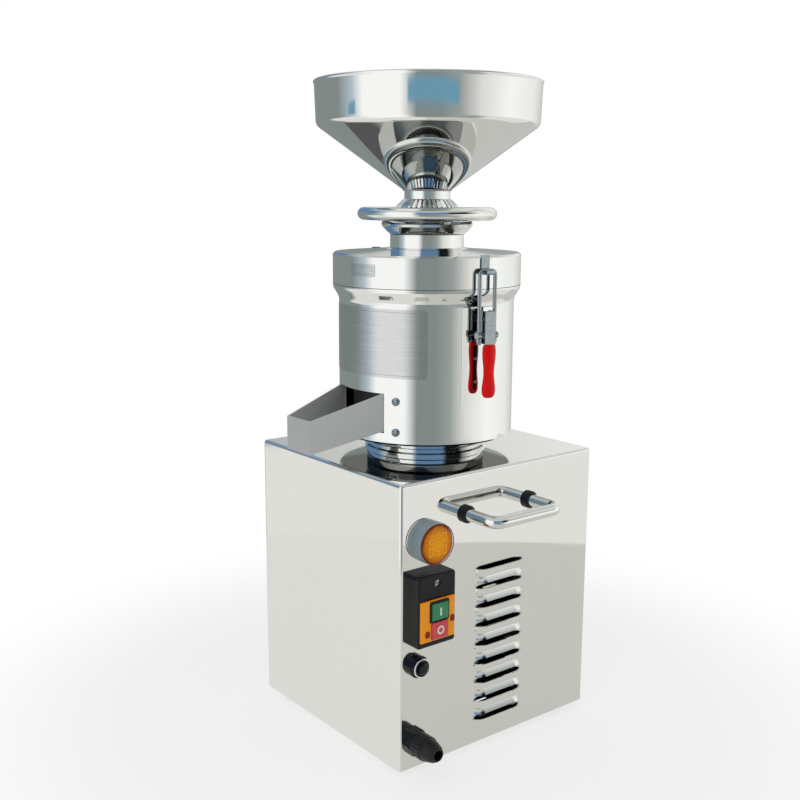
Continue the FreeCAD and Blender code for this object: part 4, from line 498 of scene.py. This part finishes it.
def groundCastIron():  # hard cast iron, faced by grinding: dark grey with a dull gleam
    material, tree, shader, places = startMaterial("groundCastIron", "#6E6C69", 1, 0.4)
    pores = addNode(tree, "ShaderNodeTexVoronoi", {"Vector": places, "Scale": 1000 / 1.2})
    bump = addNode(tree, "ShaderNodeBump",
                   {"Strength": 0.5, "Distance": 0.05 * mm, "Height": pores.outputs[0]})
    tree.links.new(bump.outputs[0], shader.inputs["Normal"])
    return material


def electricalSteel():  # stamped silicon steel, stacked in 0.5 mm sheets: blue-grey with fine layers
    material, tree, shader, places = startMaterial("electricalSteel", "#70757C", 1, 0.42)
    axes = addNode(tree, "ShaderNodeSeparateXYZ", {0: places})
    layers = addNode(tree, "ShaderNodeMath", {0: axes.outputs["Z"], 1: math.tau * 1000 / 0.5},
                     operation="MULTIPLY")
    edges = addNode(tree, "ShaderNodeMath", {0: layers.outputs[0]}, operation="SINE")
    bump = addNode(tree, "ShaderNodeBump",
                   {"Strength": 0.6, "Distance": 0.05 * mm, "Height": edges.outputs[0]})
    tree.links.new(bump.outputs[0], shader.inputs["Normal"])
    return material


def bearingSteel():  # chrome bearing steel, ground: bright and slightly warm
    material, tree, shader, places = startMaterial("bearingSteel", "#C9C8C4", 1, 0.16)
    smear = addNode(tree, "ShaderNodeTexNoise", {"Vector": places, "Scale": 1000 / 8, "Detail": 3})
    oil = addNode(tree, "ShaderNodeMapRange", {"Value": smear.outputs[0], "To Min": 0.10, "To Max": 0.24})
    tree.links.new(oil.outputs[0], shader.inputs["Roughness"])
    return material


moulded = {"shine": 0.3, "grainMm": 0.7, "grainDepthMm": 0.02, "mottleMm": 14}


# ABS and its like, injection moulded: even colour, fine grain, soft gloss
def mouldedPlastic(name, colour, darker, roughness):
    material, tree, shader, places = startMaterial(name, colour, 0, roughness)
    shader.inputs["IOR"].default_value = 1.54
    shader.inputs["Specular IOR Level"].default_value = moulded["shine"]
    mottle = addNode(tree, "ShaderNodeTexNoise",
                     {"Vector": places, "Scale": 1000 / moulded["mottleMm"], "Detail": 3})
    tone = addNode(tree, "ShaderNodeValToRGB", {0: mottle.outputs[0]})
    setStops(tone, [(0.25, darker), (0.7, colour)])
    tree.links.new(tone.outputs[0], shader.inputs["Base Color"])
    grain = addNode(tree, "ShaderNodeTexNoise",
                    {"Vector": places, "Scale": 1000 / moulded["grainMm"], "Detail": 2})
    bump = addNode(tree, "ShaderNodeBump", {"Strength": 0.35, "Distance": moulded["grainDepthMm"] * mm,
                                            "Height": grain.outputs[0]})
    tree.links.new(bump.outputs[0], shader.inputs["Normal"])
    return material


def dippedVinyl():  # PVC, dipped hot onto the lever: deep red, glossy, with slow runs in the skin
    material, tree, shader, places = startMaterial("dippedVinyl", "#E60000", 0, 0.28)
    shader.inputs["IOR"].default_value = 1.53
    shader.inputs["Specular IOR Level"].default_value = 0.18
    runs = addNode(tree, "ShaderNodeMapping", {"Vector": places, "Scale": (1000 / 6, 1000 / 6, 1000 / 25)})
    skin = addNode(tree, "ShaderNodeTexNoise", {"Vector": runs.outputs[0], "Scale": 1, "Detail": 2})
    tone = addNode(tree, "ShaderNodeValToRGB", {0: skin.outputs[0]})
    setStops(tone, [(0.3, "#D00000"), (0.65, "#F00404")])
    tree.links.new(tone.outputs[0], shader.inputs["Base Color"])
    bump = addNode(tree, "ShaderNodeBump",
                   {"Strength": 0.5, "Distance": 0.06 * mm, "Height": skin.outputs[0]})
    tree.links.new(bump.outputs[0], shader.inputs["Normal"])
    return material


# nitrile rubber, moulded: nearly black, dull, dusty in patches
def mouldedRubber(name, colour, roughness):
    material, tree, shader, places = startMaterial(name, colour, 0, roughness)
    shader.inputs["IOR"].default_value = 1.52
    dust = addNode(tree, "ShaderNodeTexNoise", {"Vector": places, "Scale": 1000 / 5, "Detail": 5})
    tone = addNode(tree, "ShaderNodeValToRGB", {0: dust.outputs[0]})
    setStops(tone, [(0.35, colour), (0.75, "#34322F")])
    tree.links.new(tone.outputs[0], shader.inputs["Base Color"])
    grain = addNode(tree, "ShaderNodeTexNoise", {"Vector": places, "Scale": 1000 / 0.8, "Detail": 2})
    bump = addNode(tree, "ShaderNodeBump",
                   {"Strength": 0.5, "Distance": 0.04 * mm, "Height": grain.outputs[0]})
    tree.links.new(bump.outputs[0], shader.inputs["Normal"])
    return material


lensPaintedLight = {"centre": "#F8A600", "middle": "#E48F00", "edge": "#C26E00", "rim": "#6A2400", "radiusMm": 19.6}


def amberAcrylic():  # acrylic, moulded: a painted glow in the middle, turning to painted brown shade towards the rim, where the dome is seen edge on
    material, tree, shader, places = startMaterial("amberAcrylic", lensPaintedLight["middle"], 0, 0.1)
    shader.inputs["IOR"].default_value = 1.49
    shader.inputs["Specular IOR Level"].default_value = 0.22
    centre = middleOf("meter_lens")
    offset = addNode(tree, "ShaderNodeVectorMath", {0: places, 1: centre}, operation="SUBTRACT")
    flat = addNode(tree, "ShaderNodeVectorMath", {0: offset.outputs[0], 1: (1, 0, 1)}, operation="MULTIPLY")
    radius = addNode(tree, "ShaderNodeVectorMath", {0: flat.outputs[0]}, operation="LENGTH")
    share = addNode(tree, "ShaderNodeMath", {0: radius.outputs["Value"], 1: lensPaintedLight["radiusMm"] * mm},
                    operation="DIVIDE")
    flow = addNode(tree, "ShaderNodeTexNoise", {"Vector": places, "Scale": 1000 / 5, "Detail": 2})
    uneven = addNode(tree, "ShaderNodeMath", {0: flow.outputs[0], 1: 0.16, 2: -0.08},
                     operation="MULTIPLY_ADD")
    total = addNode(tree, "ShaderNodeMath", {0: share.outputs[0], 1: uneven.outputs[0]}, operation="ADD")
    tone = addNode(tree, "ShaderNodeValToRGB", {0: total.outputs[0]})
    # painted light: a glow at the centre and shade towards the edge and rim
    setStops(tone, [(0, lensPaintedLight["centre"]), (0.55, lensPaintedLight["middle"]), (0.86, lensPaintedLight["edge"]),
                    (0.97, lensPaintedLight["rim"])])
    tree.links.new(tone.outputs[0], shader.inputs["Base Color"])
    return material


# self-adhesive aluminium foil, brushed along its length: matt silver with fine level lines
def brushedFoil():
    material, tree, shader, places = startMaterial("brushedFoil", "#DADBDA", 1, 0.2)
    lines = addNode(tree, "ShaderNodeMapping",
                    {"Vector": places, "Scale": (1000 / 40, 1000 / 40, 1000 / 0.5)})
    strokes = addNode(tree, "ShaderNodeTexNoise", {"Vector": lines.outputs[0], "Scale": 1, "Detail": 3})
    tone = addNode(tree, "ShaderNodeValToRGB", {0: strokes.outputs[0]})
    setStops(tone, [(0.3, "#CFD0CF"), (0.7, "#DFE0DF")])
    tree.links.new(tone.outputs[0], shader.inputs["Base Color"])
    bump = addNode(tree, "ShaderNodeBump",
                   {"Strength": 0.03, "Distance": 0.01 * mm, "Height": strokes.outputs[0]})
    tree.links.new(bump.outputs[0], shader.inputs["Normal"])
    return material


steelSheet = polishedStainlessSheet()
steelTurned = turnedStainless()
steelSatin = satinStainless()
zinc = brightZincPlate()
aluminium = castAluminium()
castIron = groundCastIron()
laminations = electricalSteel()
bearings = bearingSteel()
blackPlastic = mouldedPlastic("blackAbs", "#131314", "#0C0C0D", 0.22)
blackNylon = mouldedPlastic("blackNylon", "#17181A", "#101012", 0.36)
glossBlack = mouldedPlastic("glossBlackBakelite", "#10151F", "#0B0E15", 0.08)
orangePlastic = mouldedPlastic("orangeAbs", "#FBA012", "#F2940A", 0.3)
greenPlastic = mouldedPlastic("greenAbs", "#3D8F62", "#2F7F54", 0.3)
redPlastic = mouldedPlastic("redAbs", "#D8505A", "#C9424D", 0.3)
# dark red that paints shade: on the switch's orange lugs and round the meter lens
shadeRedPlastic = mouldedPlastic("shadeRedAbs", "#8E2A12", "#6E1D0C", 0.35)
whiteInk = mouldedPlastic("whiteFill", "#E6E4DC", "#D9D7CE", 0.5)
greyPaint = mouldedPlastic("greyInk", "#8E9294", "#7E8284", 0.5)
meterGrey = mouldedPlastic("greyPolycarbonate", "#93A5AA", "#8799A0", 0.22)
redVinyl = dippedVinyl()
blackRubber = mouldedRubber("blackNitrile", "#161616", 0.62)
sealant = mouldedRubber("greySilicone", "#3A3C3D", 0.5)
amberLens = amberAcrylic()
amberInk = mouldedPlastic("amberFill", "#FFB51E", "#F6A414", 0.35)
foil = brushedFoil()
print("materials made")

finishes = [
    (steelSheet, "cabinet_shell base_plate"),
    (steelTurned, "grinding_housing head_cover pedestal_ring handwheel lock_ring hopper_stem hopper_bowl "
                  "feed_tube front_handle rear_handle motor_shaft latch_bases"),
    (steelSatin, "discharge_chute scraper_blades"),
    (zinc, "foot_screws handle_nuts switch_screw motor_tie_bolts housing_bolts chute_screws guide_pins "
           "hub_circlip shaft_nut latch_hooks front_latch_lever rear_latch_lever front_latch_loop "
           "rear_latch_loop"),
    (aluminium, "upper_end_bell lower_end_bell motor_frame disc_table"),
    (castIron, "lower_disc upper_disc"),
    (laminations, "rotor_core wound_stator"),
    (bearings, "motor_bearings"),
    (blackPlastic, "switch_box switch_block breaker_body run_capacitor cooling_fan panel_nuts"),
    (blackNylon, "cable_gland gland_cap handle_feet"),
    (glossBlack, "reset_button reset_collar"),
    (blackRubber, "rubber_feet shaft_seal cover_seal"),
    (orangePlastic, "switch_bezel"),
    (greenPlastic, "start_button"),
    (redPlastic, "stop_button"),
    (redVinyl, "front_latch_grip rear_latch_grip"),
    (amberLens, "meter_lens"),
    (meterGrey, "meter_body"),
]


def finishNodes():
    bare = set(nodes)
    for material, names in finishes:
        for name in names.split():
            nodes[name].data.materials.clear()
            nodes[name].data.materials.append(material)
            bare.discard(name)
    if bare:
        raise ValueError(f"without a finish: {sorted(bare)}")


finishNodes()
print("CAD nodes finished")


# hopper: spun bowl with a rolled lip, welded to its stem

bowl = {"bandLean": 1.6, "bandHeight": 44, "crease": 2.5, "creaseBend": 9, "sheet": 1.2, "lip": 1.4,
        "lipDrop": 3.4, "weld": 1.5, "weldRipple": 0.12, "weldLaps": 48}


# extra points near the ends of long runs keep them flat when shaded smooth
def holdStraight(outline, margin):
    held = []
    for start, end in zip(outline, outline[1:]):
        length = (end - start).length
        held.append(start)
        if length > 4 * margin:
            held += [start.lerp(end, margin / length), start.lerp(end, 1 - margin / length)]
    return held + [outline[-1]]


def makeHopper():
    low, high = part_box("hopper_bowl")
    radius, bottom, top = high.x / mm, low.z / mm, high.z / mm
    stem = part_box("hopper_stem")[1].x / mm
    creaseHeight = top - bowl["bandHeight"]
    crease = radius - bowl["crease"]
    band = crease + bowl["bandLean"]
    lipMiddle = (radius - bowl["lip"], top - bowl["lip"])
    thick = bowl["sheet"]
    slope = (creaseHeight - bottom) / (crease - stem)
    rise = thick * math.sqrt(1 + slope ** 2)
    outside = roundCorners([(stem, bottom, 0), (crease, creaseHeight, bowl["creaseBend"]),
                            (band, top - bowl["lipDrop"], 0)], steps=10)
    lip = arcPoints(lipMiddle, bowl["lip"], -35, 215, 14)
    inside = roundCorners([(band - thick, top - bowl["lipDrop"], 0),
                           (crease - thick, creaseHeight + rise - thick * slope, bowl["creaseBend"] - thick),
                           (stem, bottom + rise, 0)], steps=10)
    shape = bmesh.new()
    turnOutline(shape, holdStraight(outside + lip + inside + outside[:1], 1.2), 256)
    mesh = meshFrom("hopperBowl", shape, sharpAngle=50)
    addPiece("hopperBowl", mesh, "hopper", steelTurned, "mirror_steel", "hopper_bowl")
    bead = bmesh.new()

    def ripple(angle, up):  # the weld's laps, about 3 mm apart
        return bowl["weldRipple"] * math.sin(angle * bowl["weldLaps"])

    turnOutline(bead, arcPoints((stem - 0.1, bottom), bowl["weld"] / 2, 0, 360, 12), 288, ripple)
    addPiece("stemWeld", meshFrom("stemWeld", bead, sharpAngle=80), "hopper", steelSatin, "turned_steel")


makeHopper()
print("hopper made")


# head: seam between cover and chamber, bare plates

head = {"chamberRadius": 92.6, "seamWidth": 0.7, "plateThickness": 0.35, "border": 3.0, "borderLine": 0.3,
        # headings in degrees from +X towards +Y, heights in millimetres
        "foilHeadings": (146, 231.5), "foilHeights": (386, 455), "foilCorner": 3,
        "tagHeadings": (181, 199.5), "tagHeights": (486, 499), "tagCorner": 1}


def makeCurvedPlate(name, radius, headings, heights, corner):
    middle = math.radians(sum(headings) / 2) * radius
    width = math.radians(headings[1] - headings[0]) * radius
    centre = (middle, sum(heights) / 2)
    tall = heights[1] - heights[0]
    outer = radius + head["plateThickness"]
    columns = max(8, int(width / 2))
    shape = bmesh.new()
    face = []
    for column in range(columns + 1):
        across = middle - width / 2 + width * column / columns
        edge = min(across - (middle - width / 2), middle + width / 2 - across)
        cutIn = corner - math.sqrt(max(0, corner ** 2 - max(0, corner - edge) ** 2))
        heading = across / radius
        ends = []
        for reach in (radius - 0.3, outer):
            for up in (heights[0] + cutIn, heights[1] - cutIn):
                ends.append(shape.verts.new(onRound(reach, heading, up)))
        face.append(ends)
    for near, far in zip(face, face[1:]):
        for first, second in ((2, 3), (3, 1), (1, 0), (0, 2)):
            shape.faces.new((near[first], far[first], far[second], near[second]))
    for ends in (face[0], face[-1]):
        shape.faces.new((ends[0], ends[1], ends[3], ends[2]))
    addPiece(name, meshFrom(name, shape), "machine", foil, "turned_steel")
    inset = roundedBox(width - 2 * head["border"], tall - 2 * head["border"], max(0.4, corner - 1), 4, centre)
    ring = [onRound(outer, across / radius, up) for across, up in evenSteps(inset, 3)]
    border = wireThrough(name + "Border", ring, head["borderLine"], True)
    addPiece(name + "Border", border, "machine", greyPaint, "black_plastic")


def makeHead():
    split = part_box("grinding_housing")[1].z / mm
    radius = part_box("head_cover")[1].x / mm
    seam = bmesh.new()
    turnOutline(seam, arcPoints((radius - 0.15, split), head["seamWidth"] / 2, 0, 360, 8), 192)
    addPiece("coverSeam", meshFrom("coverSeam", seam, sharpAngle=80), "machine", sealant, "black_rubber")
    makeCurvedPlate("foilPlate", head["chamberRadius"], head["foilHeadings"], head["foilHeights"],
                    head["foilCorner"])
    makeCurvedPlate("coverTag", radius, head["tagHeadings"], head["tagHeights"], head["tagCorner"])


makeHead()
print("head made")


# latches: riveted backs of the grips, and a dark line of painted shade round each base, drawn as a bead of
# grey silicone

latch = {"turn": -4.5, "backHalf": 2.7, "backThickness": 0.5, "backDrops": (3, 49), "rivetRadius": 1.9,
         "rivetRise": 1.0, "rivetDrops": (17, 40.5), "bead": 0.6, "shadeLineSink": 1.2, "padRadius": 94.1,
         "padWidth": 40,
         # the inlay's section: share of its half width, and how far it stands out of the grip
         "backSection": ((-1, -0.6), (-1, 0.25), (-0.8, 0.45), (0, 0.5), (0.8, 0.45), (1, 0.25), (1, -0.6))}


def gripBack(side, spin):  # gives a function: across and height on the grip's inner face, in millimetres
    grip = nodes[side + "_latch_grip"]
    tree = BVHTree.FromPolygons([spin.inverted() @ vertex.co for vertex in grip.data.vertices],
                                [list(face.vertices) for face in grip.data.polygons])

    def faceAt(across, up):
        hit = tree.ray_cast(Vector((across, -90, up)) * mm, Vector((0, -1, 0)))[0]
        return hit.y / mm

    return faceAt


def makeLatch(side, heading):
    spin = Matrix.Rotation(math.radians(heading), 4, "Z")
    faceAt = gripBack(side, spin)
    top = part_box(side + "_latch_grip")[1].z / mm
    first, last = latch["backDrops"]
    half = latch["backHalf"]
    inlay = bmesh.new()
    rows = []
    steps = 40
    for step in range(steps + 1):
        drop = first + (last - first) * step / steps
        fromEnd = min(drop - first, last - drop)
        narrow = half - math.sqrt(max(0, half ** 2 - max(0, half - fromEnd) ** 2))
        wide = max(0.25, half - narrow)
        middle = faceAt(0, top - drop)
        row = []
        for share, out in latch["backSection"]:
            place = Vector((share * wide, middle + out, top - drop)) * mm
            row.append(inlay.verts.new(place))
        rows.append(row)
    for near, far in zip(rows, rows[1:]):
        for index in range(len(near)):
            following = (index + 1) % len(near)
            inlay.faces.new((near[index], near[following], far[following], far[index]))
    inlay.faces.new(rows[0])
    inlay.faces.new(rows[-1][::-1])
    back = meshFrom(side + "GripBack", inlay, spin)
    addPiece(side + "GripBack", back, side + "_lever", glossBlack, "black_plastic")
    rivets = bmesh.new()
    for drop in latch["rivetDrops"]:
        radius, rise = latch["rivetRadius"], latch["rivetRise"]
        dome = bmesh.new()
        turnOutline(dome, [(0.02, rise), (radius * 0.5, rise * 0.92), (radius * 0.85, rise * 0.55),
                           (radius, 0), (radius, -1.4), (0.02, -1.4)], 32)
        seat = faceAt(0, top - drop) + latch["backThickness"]
        lay = (Matrix.Translation(Vector((0, seat, top - drop)) * mm)
               @ Matrix.Rotation(math.radians(-90), 4, "X"))
        bmesh.ops.transform(dome, matrix=lay, verts=dome.verts)
        joinShape(rivets, dome)
    domes = meshFrom(side + "GripRivets", rivets, spin)
    addPiece(side + "GripRivets", domes, side + "_lever", zinc, "latch_steel")


def makePadShadeLines():
    low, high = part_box("latch_bases")
    radius = latch["padRadius"]
    for side, heading in (("front", -90 + latch["turn"]), ("rear", 90 + latch["turn"])):
        middle = math.radians(heading) * radius
        corners = roundedBox(latch["padWidth"], (high.z - low.z) / mm, 0.4, 2,
                             (middle, (low.z + high.z) / 2 / mm))
        ring = [onRound(radius - latch["shadeLineSink"], across / radius, up)
                for across, up in evenSteps(corners, 2)]
        # a dark bead that paints the shadow gap round the pad
        bead = wireThrough(side + "PadShadeLine", ring, latch["bead"], True)
        addPiece(side + "PadShadeLine", bead, "machine", sealant, "black_rubber")


makeLatch("front", latch["turn"])
makeLatch("rear", latch["turn"] + 180)
makePadShadeLines()
print("latches made")


# chute: hemmed edge and round-headed screws

chute = {"rootX": 85.5, "rootHalf": 36.2, "rootTop": 369.0, "endHalf": 19.2, "endTop": 347.0, "hem": 2.0,
         "hemInset": 1.1, "screwTurn": 31.7, "screwHeights": (331, 362.5),
         "headRadius": 4.2, "headRise": 2.6, "recess": 0.9, "recessReach": 2.4, "recessDepth": 1.1,
         "crossTurn": 20, "crossSpread": 37}  # degrees, so that no two screws stand alike


def crossHead(radius, rise, recess, reach, depth):  # a domed screw head with a cross recess, towards +Z
    shape = bmesh.new()
    rings, segments = 22, 96
    grid = []
    for ring in range(rings + 1):
        share = ring / rings
        row = []
        for index in range(segments):
            angle = math.tau * index / segments
            x, y = share * radius * math.cos(angle), share * radius * math.sin(angle)
            up = rise * math.sqrt(max(0, 1 - 0.82 * share ** 2)) - 0.15 * rise
            inCross = min(abs(x), abs(y)) < recess / 2 and max(abs(x), abs(y)) < reach
            row.append(shape.verts.new((x * mm, y * mm, (up - (depth if inCross else 0)) * mm)))
        grid.append(row)
    grid.append([shape.verts.new((v.co.x, v.co.y, -0.3 * mm)) for v in grid[-1]])
    for near, far in zip(grid, grid[1:]):
        for index in range(segments):
            following = (index + 1) % segments
            shape.faces.new((near[index], near[following], far[following], far[index]))
    return shape


def makeChute():
    screws = bmesh.new()
    for side in (-1, 1):
        heading = math.radians(180 + side * chute["screwTurn"])
        for height in chute["screwHeights"]:
            headShape = crossHead(chute["headRadius"], chute["headRise"], chute["recess"],
                                  chute["recessReach"], chute["recessDepth"])
            cross = math.radians(chute["crossTurn"] + chute["crossSpread"] * side + height)
            aim = (Matrix.Translation(onRound(head["chamberRadius"], heading, height))
                   @ Matrix.Rotation(heading, 4, "Z") @ Matrix.Rotation(math.radians(90), 4, "Y")
                   @ Matrix.Rotation(cross, 4, "Z"))
            bmesh.ops.transform(headShape, matrix=aim, verts=headShape.verts)
            joinShape(screws, headShape)
    heads = meshFrom("chuteScrewHeads", screws)
    addPiece("chuteScrewHeads", heads, "machine", zinc, "steel_hardware", "chute_screws")
    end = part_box("discharge_chute")[0].x / mm + chute["hemInset"]
    rootTop, endTop = chute["rootTop"], chute["endTop"]
    rim = [(-chute["rootX"], -chute["rootHalf"], rootTop), (end, -chute["endHalf"], endTop),
           (end, chute["endHalf"], endTop), (-chute["rootX"], chute["rootHalf"], rootTop)]
    hem = wireThrough("chuteHem", [Vector(point) * mm for point in rim], chute["hem"])
    addPiece("chuteHem", hem, "machine", steelSatin, "mirror_steel")


makeChute()
print("chute made")


# control panel: meter, switch, reset knob, cable gland

meter = {"radius": 19.6, "dome": 0.9, "edge": 1.6, "digitHeight": 8.0, "digitWidth": 4.6, "pitch": 8.2,
         "rows": (6.2, -6.2), "stroke": 1.15, "rise": 0.12, "ring": 0.9}
segmentsOf = {"0": "abcdef", "2": "abdeg", "5": "acdfg"}
readings = ("220", "050")


def lensFace(radius):
    share = radius / meter["radius"]
    return -meter["dome"] * share ** 2


def makeMeter():
    low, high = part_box("meter_lens")
    centre = middleOf("meter_lens")
    deep = (high.y - low.y) / mm
    place = facingOut(centre.x, centre.z, low.y)
    shape = bmesh.new()
    rim = meter["radius"] - 0.05
    outline = [(rim * share, lensFace(rim * share)) for share in (0, 0.2, 0.4, 0.6, 0.75, 0.88)]
    outline += [(rim - 0.6, lensFace(rim) - 0.5), (rim, lensFace(rim) - meter["edge"]),
                (rim, -deep + 0.1), (0, -deep + 0.1)]
    turnOutline(shape, outline, 128)
    window = meshFrom("meterWindow", shape, place)
    addPiece("meterWindow", window, "machine", amberLens, "amber_lens", "meter_lens")
    digits = bmesh.new()
    wide, tall, stroke = meter["digitWidth"], meter["digitHeight"], meter["stroke"]
    bars = {"a": (0, tall / 2, wide, stroke), "g": (0, 0, wide, stroke), "d": (0, -tall / 2, wide, stroke),
            "f": (-wide / 2, tall / 4, stroke, tall / 2), "b": (wide / 2, tall / 4, stroke, tall / 2),
            "e": (-wide / 2, -tall / 4, stroke, tall / 2), "c": (wide / 2, -tall / 4, stroke, tall / 2)}
    for text, row in zip(readings, meter["rows"]):
        for index, digit in enumerate(text):
            middle = (index - (len(text) - 1) / 2) * meter["pitch"]
            for segment in segmentsOf[digit]:
                across, up, width, height = bars[segment]
                x, y = middle + across, row + up
                face = lensFace(math.hypot(x, y)) + meter["rise"]
                outline = roundedBox(width - 0.15, height - 0.15, stroke * 0.4, 3, (x, y))
                extrudeOutline(digits, outline, face - 0.8, face)
    addPiece("meterDigits", meshFrom("meterDigits", digits, place), "machine", amberInk, "amber_lens")
    bezel = bmesh.new()
    ring = arcPoints((meter["radius"] + 0.35, -0.9), meter["ring"] / 2, 0, 360, 10)
    turnOutline(bezel, ring, 128)
    # a dark red ring of painted shade round the edge of the lens
    addPiece("meterRing", meshFrom("meterRing", bezel, place, 80), "machine", shadeRedPlastic, "meter_grey")


switch = {"lugWidth": 5, "lugHeight": 6.5, "frameWidth": 2.0, "inkRise": 0.15}


def makeSwitch():
    low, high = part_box("switch_bezel")
    centre = middleOf("switch_bezel")
    width, height = (high.x - low.x) / mm, (high.z - low.z) / mm
    place = facingOut(centre.x, centre.z, low.y)
    lugs = bmesh.new()
    for x, y in ((width / 2 - 4.2, -1.5), (-width / 2 + 6.2, -height / 2 + 8.5)):
        lug = roundedBox(switch["lugWidth"], switch["lugHeight"], 1.6, 4, (x, y))
        extrudeOutline(lugs, lug, -1, 0.8, 0.35)
    # the lugs are orange plastic, coloured dark red as painted shade
    addPiece("bezelLugs", meshFrom("bezelLugs", lugs, place), "machine", shadeRedPlastic, "orange_plastic")
    makeStartFrame(low.y)
    makeLegends()


def makeStartFrame(faceHeight):  # the black rim that keeps the start key from being pushed by chance
    keyLow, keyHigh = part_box("start_button")
    keyWidth, keyHeight = (keyHigh.x - keyLow.x) / mm, (keyHigh.z - keyLow.z) / mm
    keyCentre = middleOf("start_button")
    grow = switch["frameWidth"]
    shape = bmesh.new()
    outer = roundedBox(keyWidth + 2 * grow + 0.6, keyHeight + 2 * grow + 0.6, 2.2)
    inner = roundedBox(keyWidth + 0.5, keyHeight + 0.5, 1.2)
    rings = []
    for outline, up in ((outer, -1), (outer, 0.5), (inner, 0.5), (inner, -1)):
        rings.append([shape.verts.new((x * mm, y * mm, up * mm)) for x, y in outline])
    for near, far in zip(rings, rings[1:] + rings[:1]):
        for index in range(len(near)):
            following = (index + 1) % len(near)
            shape.faces.new((near[index], near[following], far[following], far[index]))
    place = facingOut(keyCentre.x, keyCentre.z, faceHeight)
    addPiece("startFrame", meshFrom("startFrame", shape, place), "machine", blackPlastic, "black_plastic")


def makeLegends():
    rise = switch["inkRise"]
    bar = bmesh.new()
    extrudeOutline(bar, roundedBox(1.9, 8, 0.5, 3), -0.5, rise)
    loop = bmesh.new()
    turnOutline(loop, [(2.6, -0.5), (2.6, rise), (4.3, rise), (4.3, -0.5)], 64)
    for key, shape, slot in (("start", bar, "green_plastic"), ("stop", loop, "red_plastic")):
        middle = middleOf(key + "_button")
        place = facingOut(middle.x, middle.z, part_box(key + "_button")[0].y)
        addPiece(key + "Mark", meshFrom(key + "Mark", shape, place), key + "_key", whiteInk, slot)


knob = {"ringRadius": 9.0, "ringWidth": 1.5, "ringSink": 0.3}


def makeResetRing():
    centre = middleOf("reset_collar")
    shape = bmesh.new()
    turnOutline(shape, arcPoints((knob["ringRadius"], 0), knob["ringWidth"] / 2, 0, 360, 12), 96)
    place = facingOut(centre.x, centre.z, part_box("reset_collar")[0].y + knob["ringSink"] * mm)
    addPiece("resetRing", meshFrom("resetRing", shape, place, 80), "machine", steelTurned, "turned_steel")


gland = {"ribs": 20, "ribDepth": 0.55, "ribBand": (2.5, 13), "bore": 5.0}


def makeGlandCap():
    low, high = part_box("gland_cap")
    centre = middleOf("gland_cap")
    length = (high.y - low.y) / mm
    radius = (high.x - low.x) / 2 / mm
    bore = gland["bore"]

    def ribs(angle, up):
        inBand = gland["ribBand"][0] < up < gland["ribBand"][1]
        return -gland["ribDepth"] * (0.5 + 0.5 * math.cos(angle * gland["ribs"])) if inBand else 0

    outline = roundCorners([(bore, 0, 0), (radius, 0, 0.8), (radius, 2, 0.4), (radius, 14, 0.6),
                            (radius - 1.1, 15, 0.5), (radius - 1.3, length * 0.62, 6),
                            (radius - 3.4, length * 0.86, 5), (bore + 1.4, length, 0.8),
                            (bore, length - 0.2, 0)], steps=5)
    dense = [start.lerp(end, step / 4) for start, end in zip(outline, outline[1:]) for step in range(4)]
    dense.append(outline[-1])
    dense += [Vector((bore, length * 0.4)), Vector((bore, 0))]
    shape = bmesh.new()
    turnOutline(shape, dense, 160, ribs)
    place = Matrix.Translation((centre.x, high.y, centre.z)) @ Matrix.Rotation(math.radians(90), 4, "X")
    cap = meshFrom("glandCap", shape, place)
    addPiece("glandCap", cap, "machine", blackNylon, "black_plastic", "gland_cap")


makeMeter()
makeSwitch()
makeResetRing()
makeGlandCap()
print("control panel made")


scene.view_settings.view_transform = "Standard"
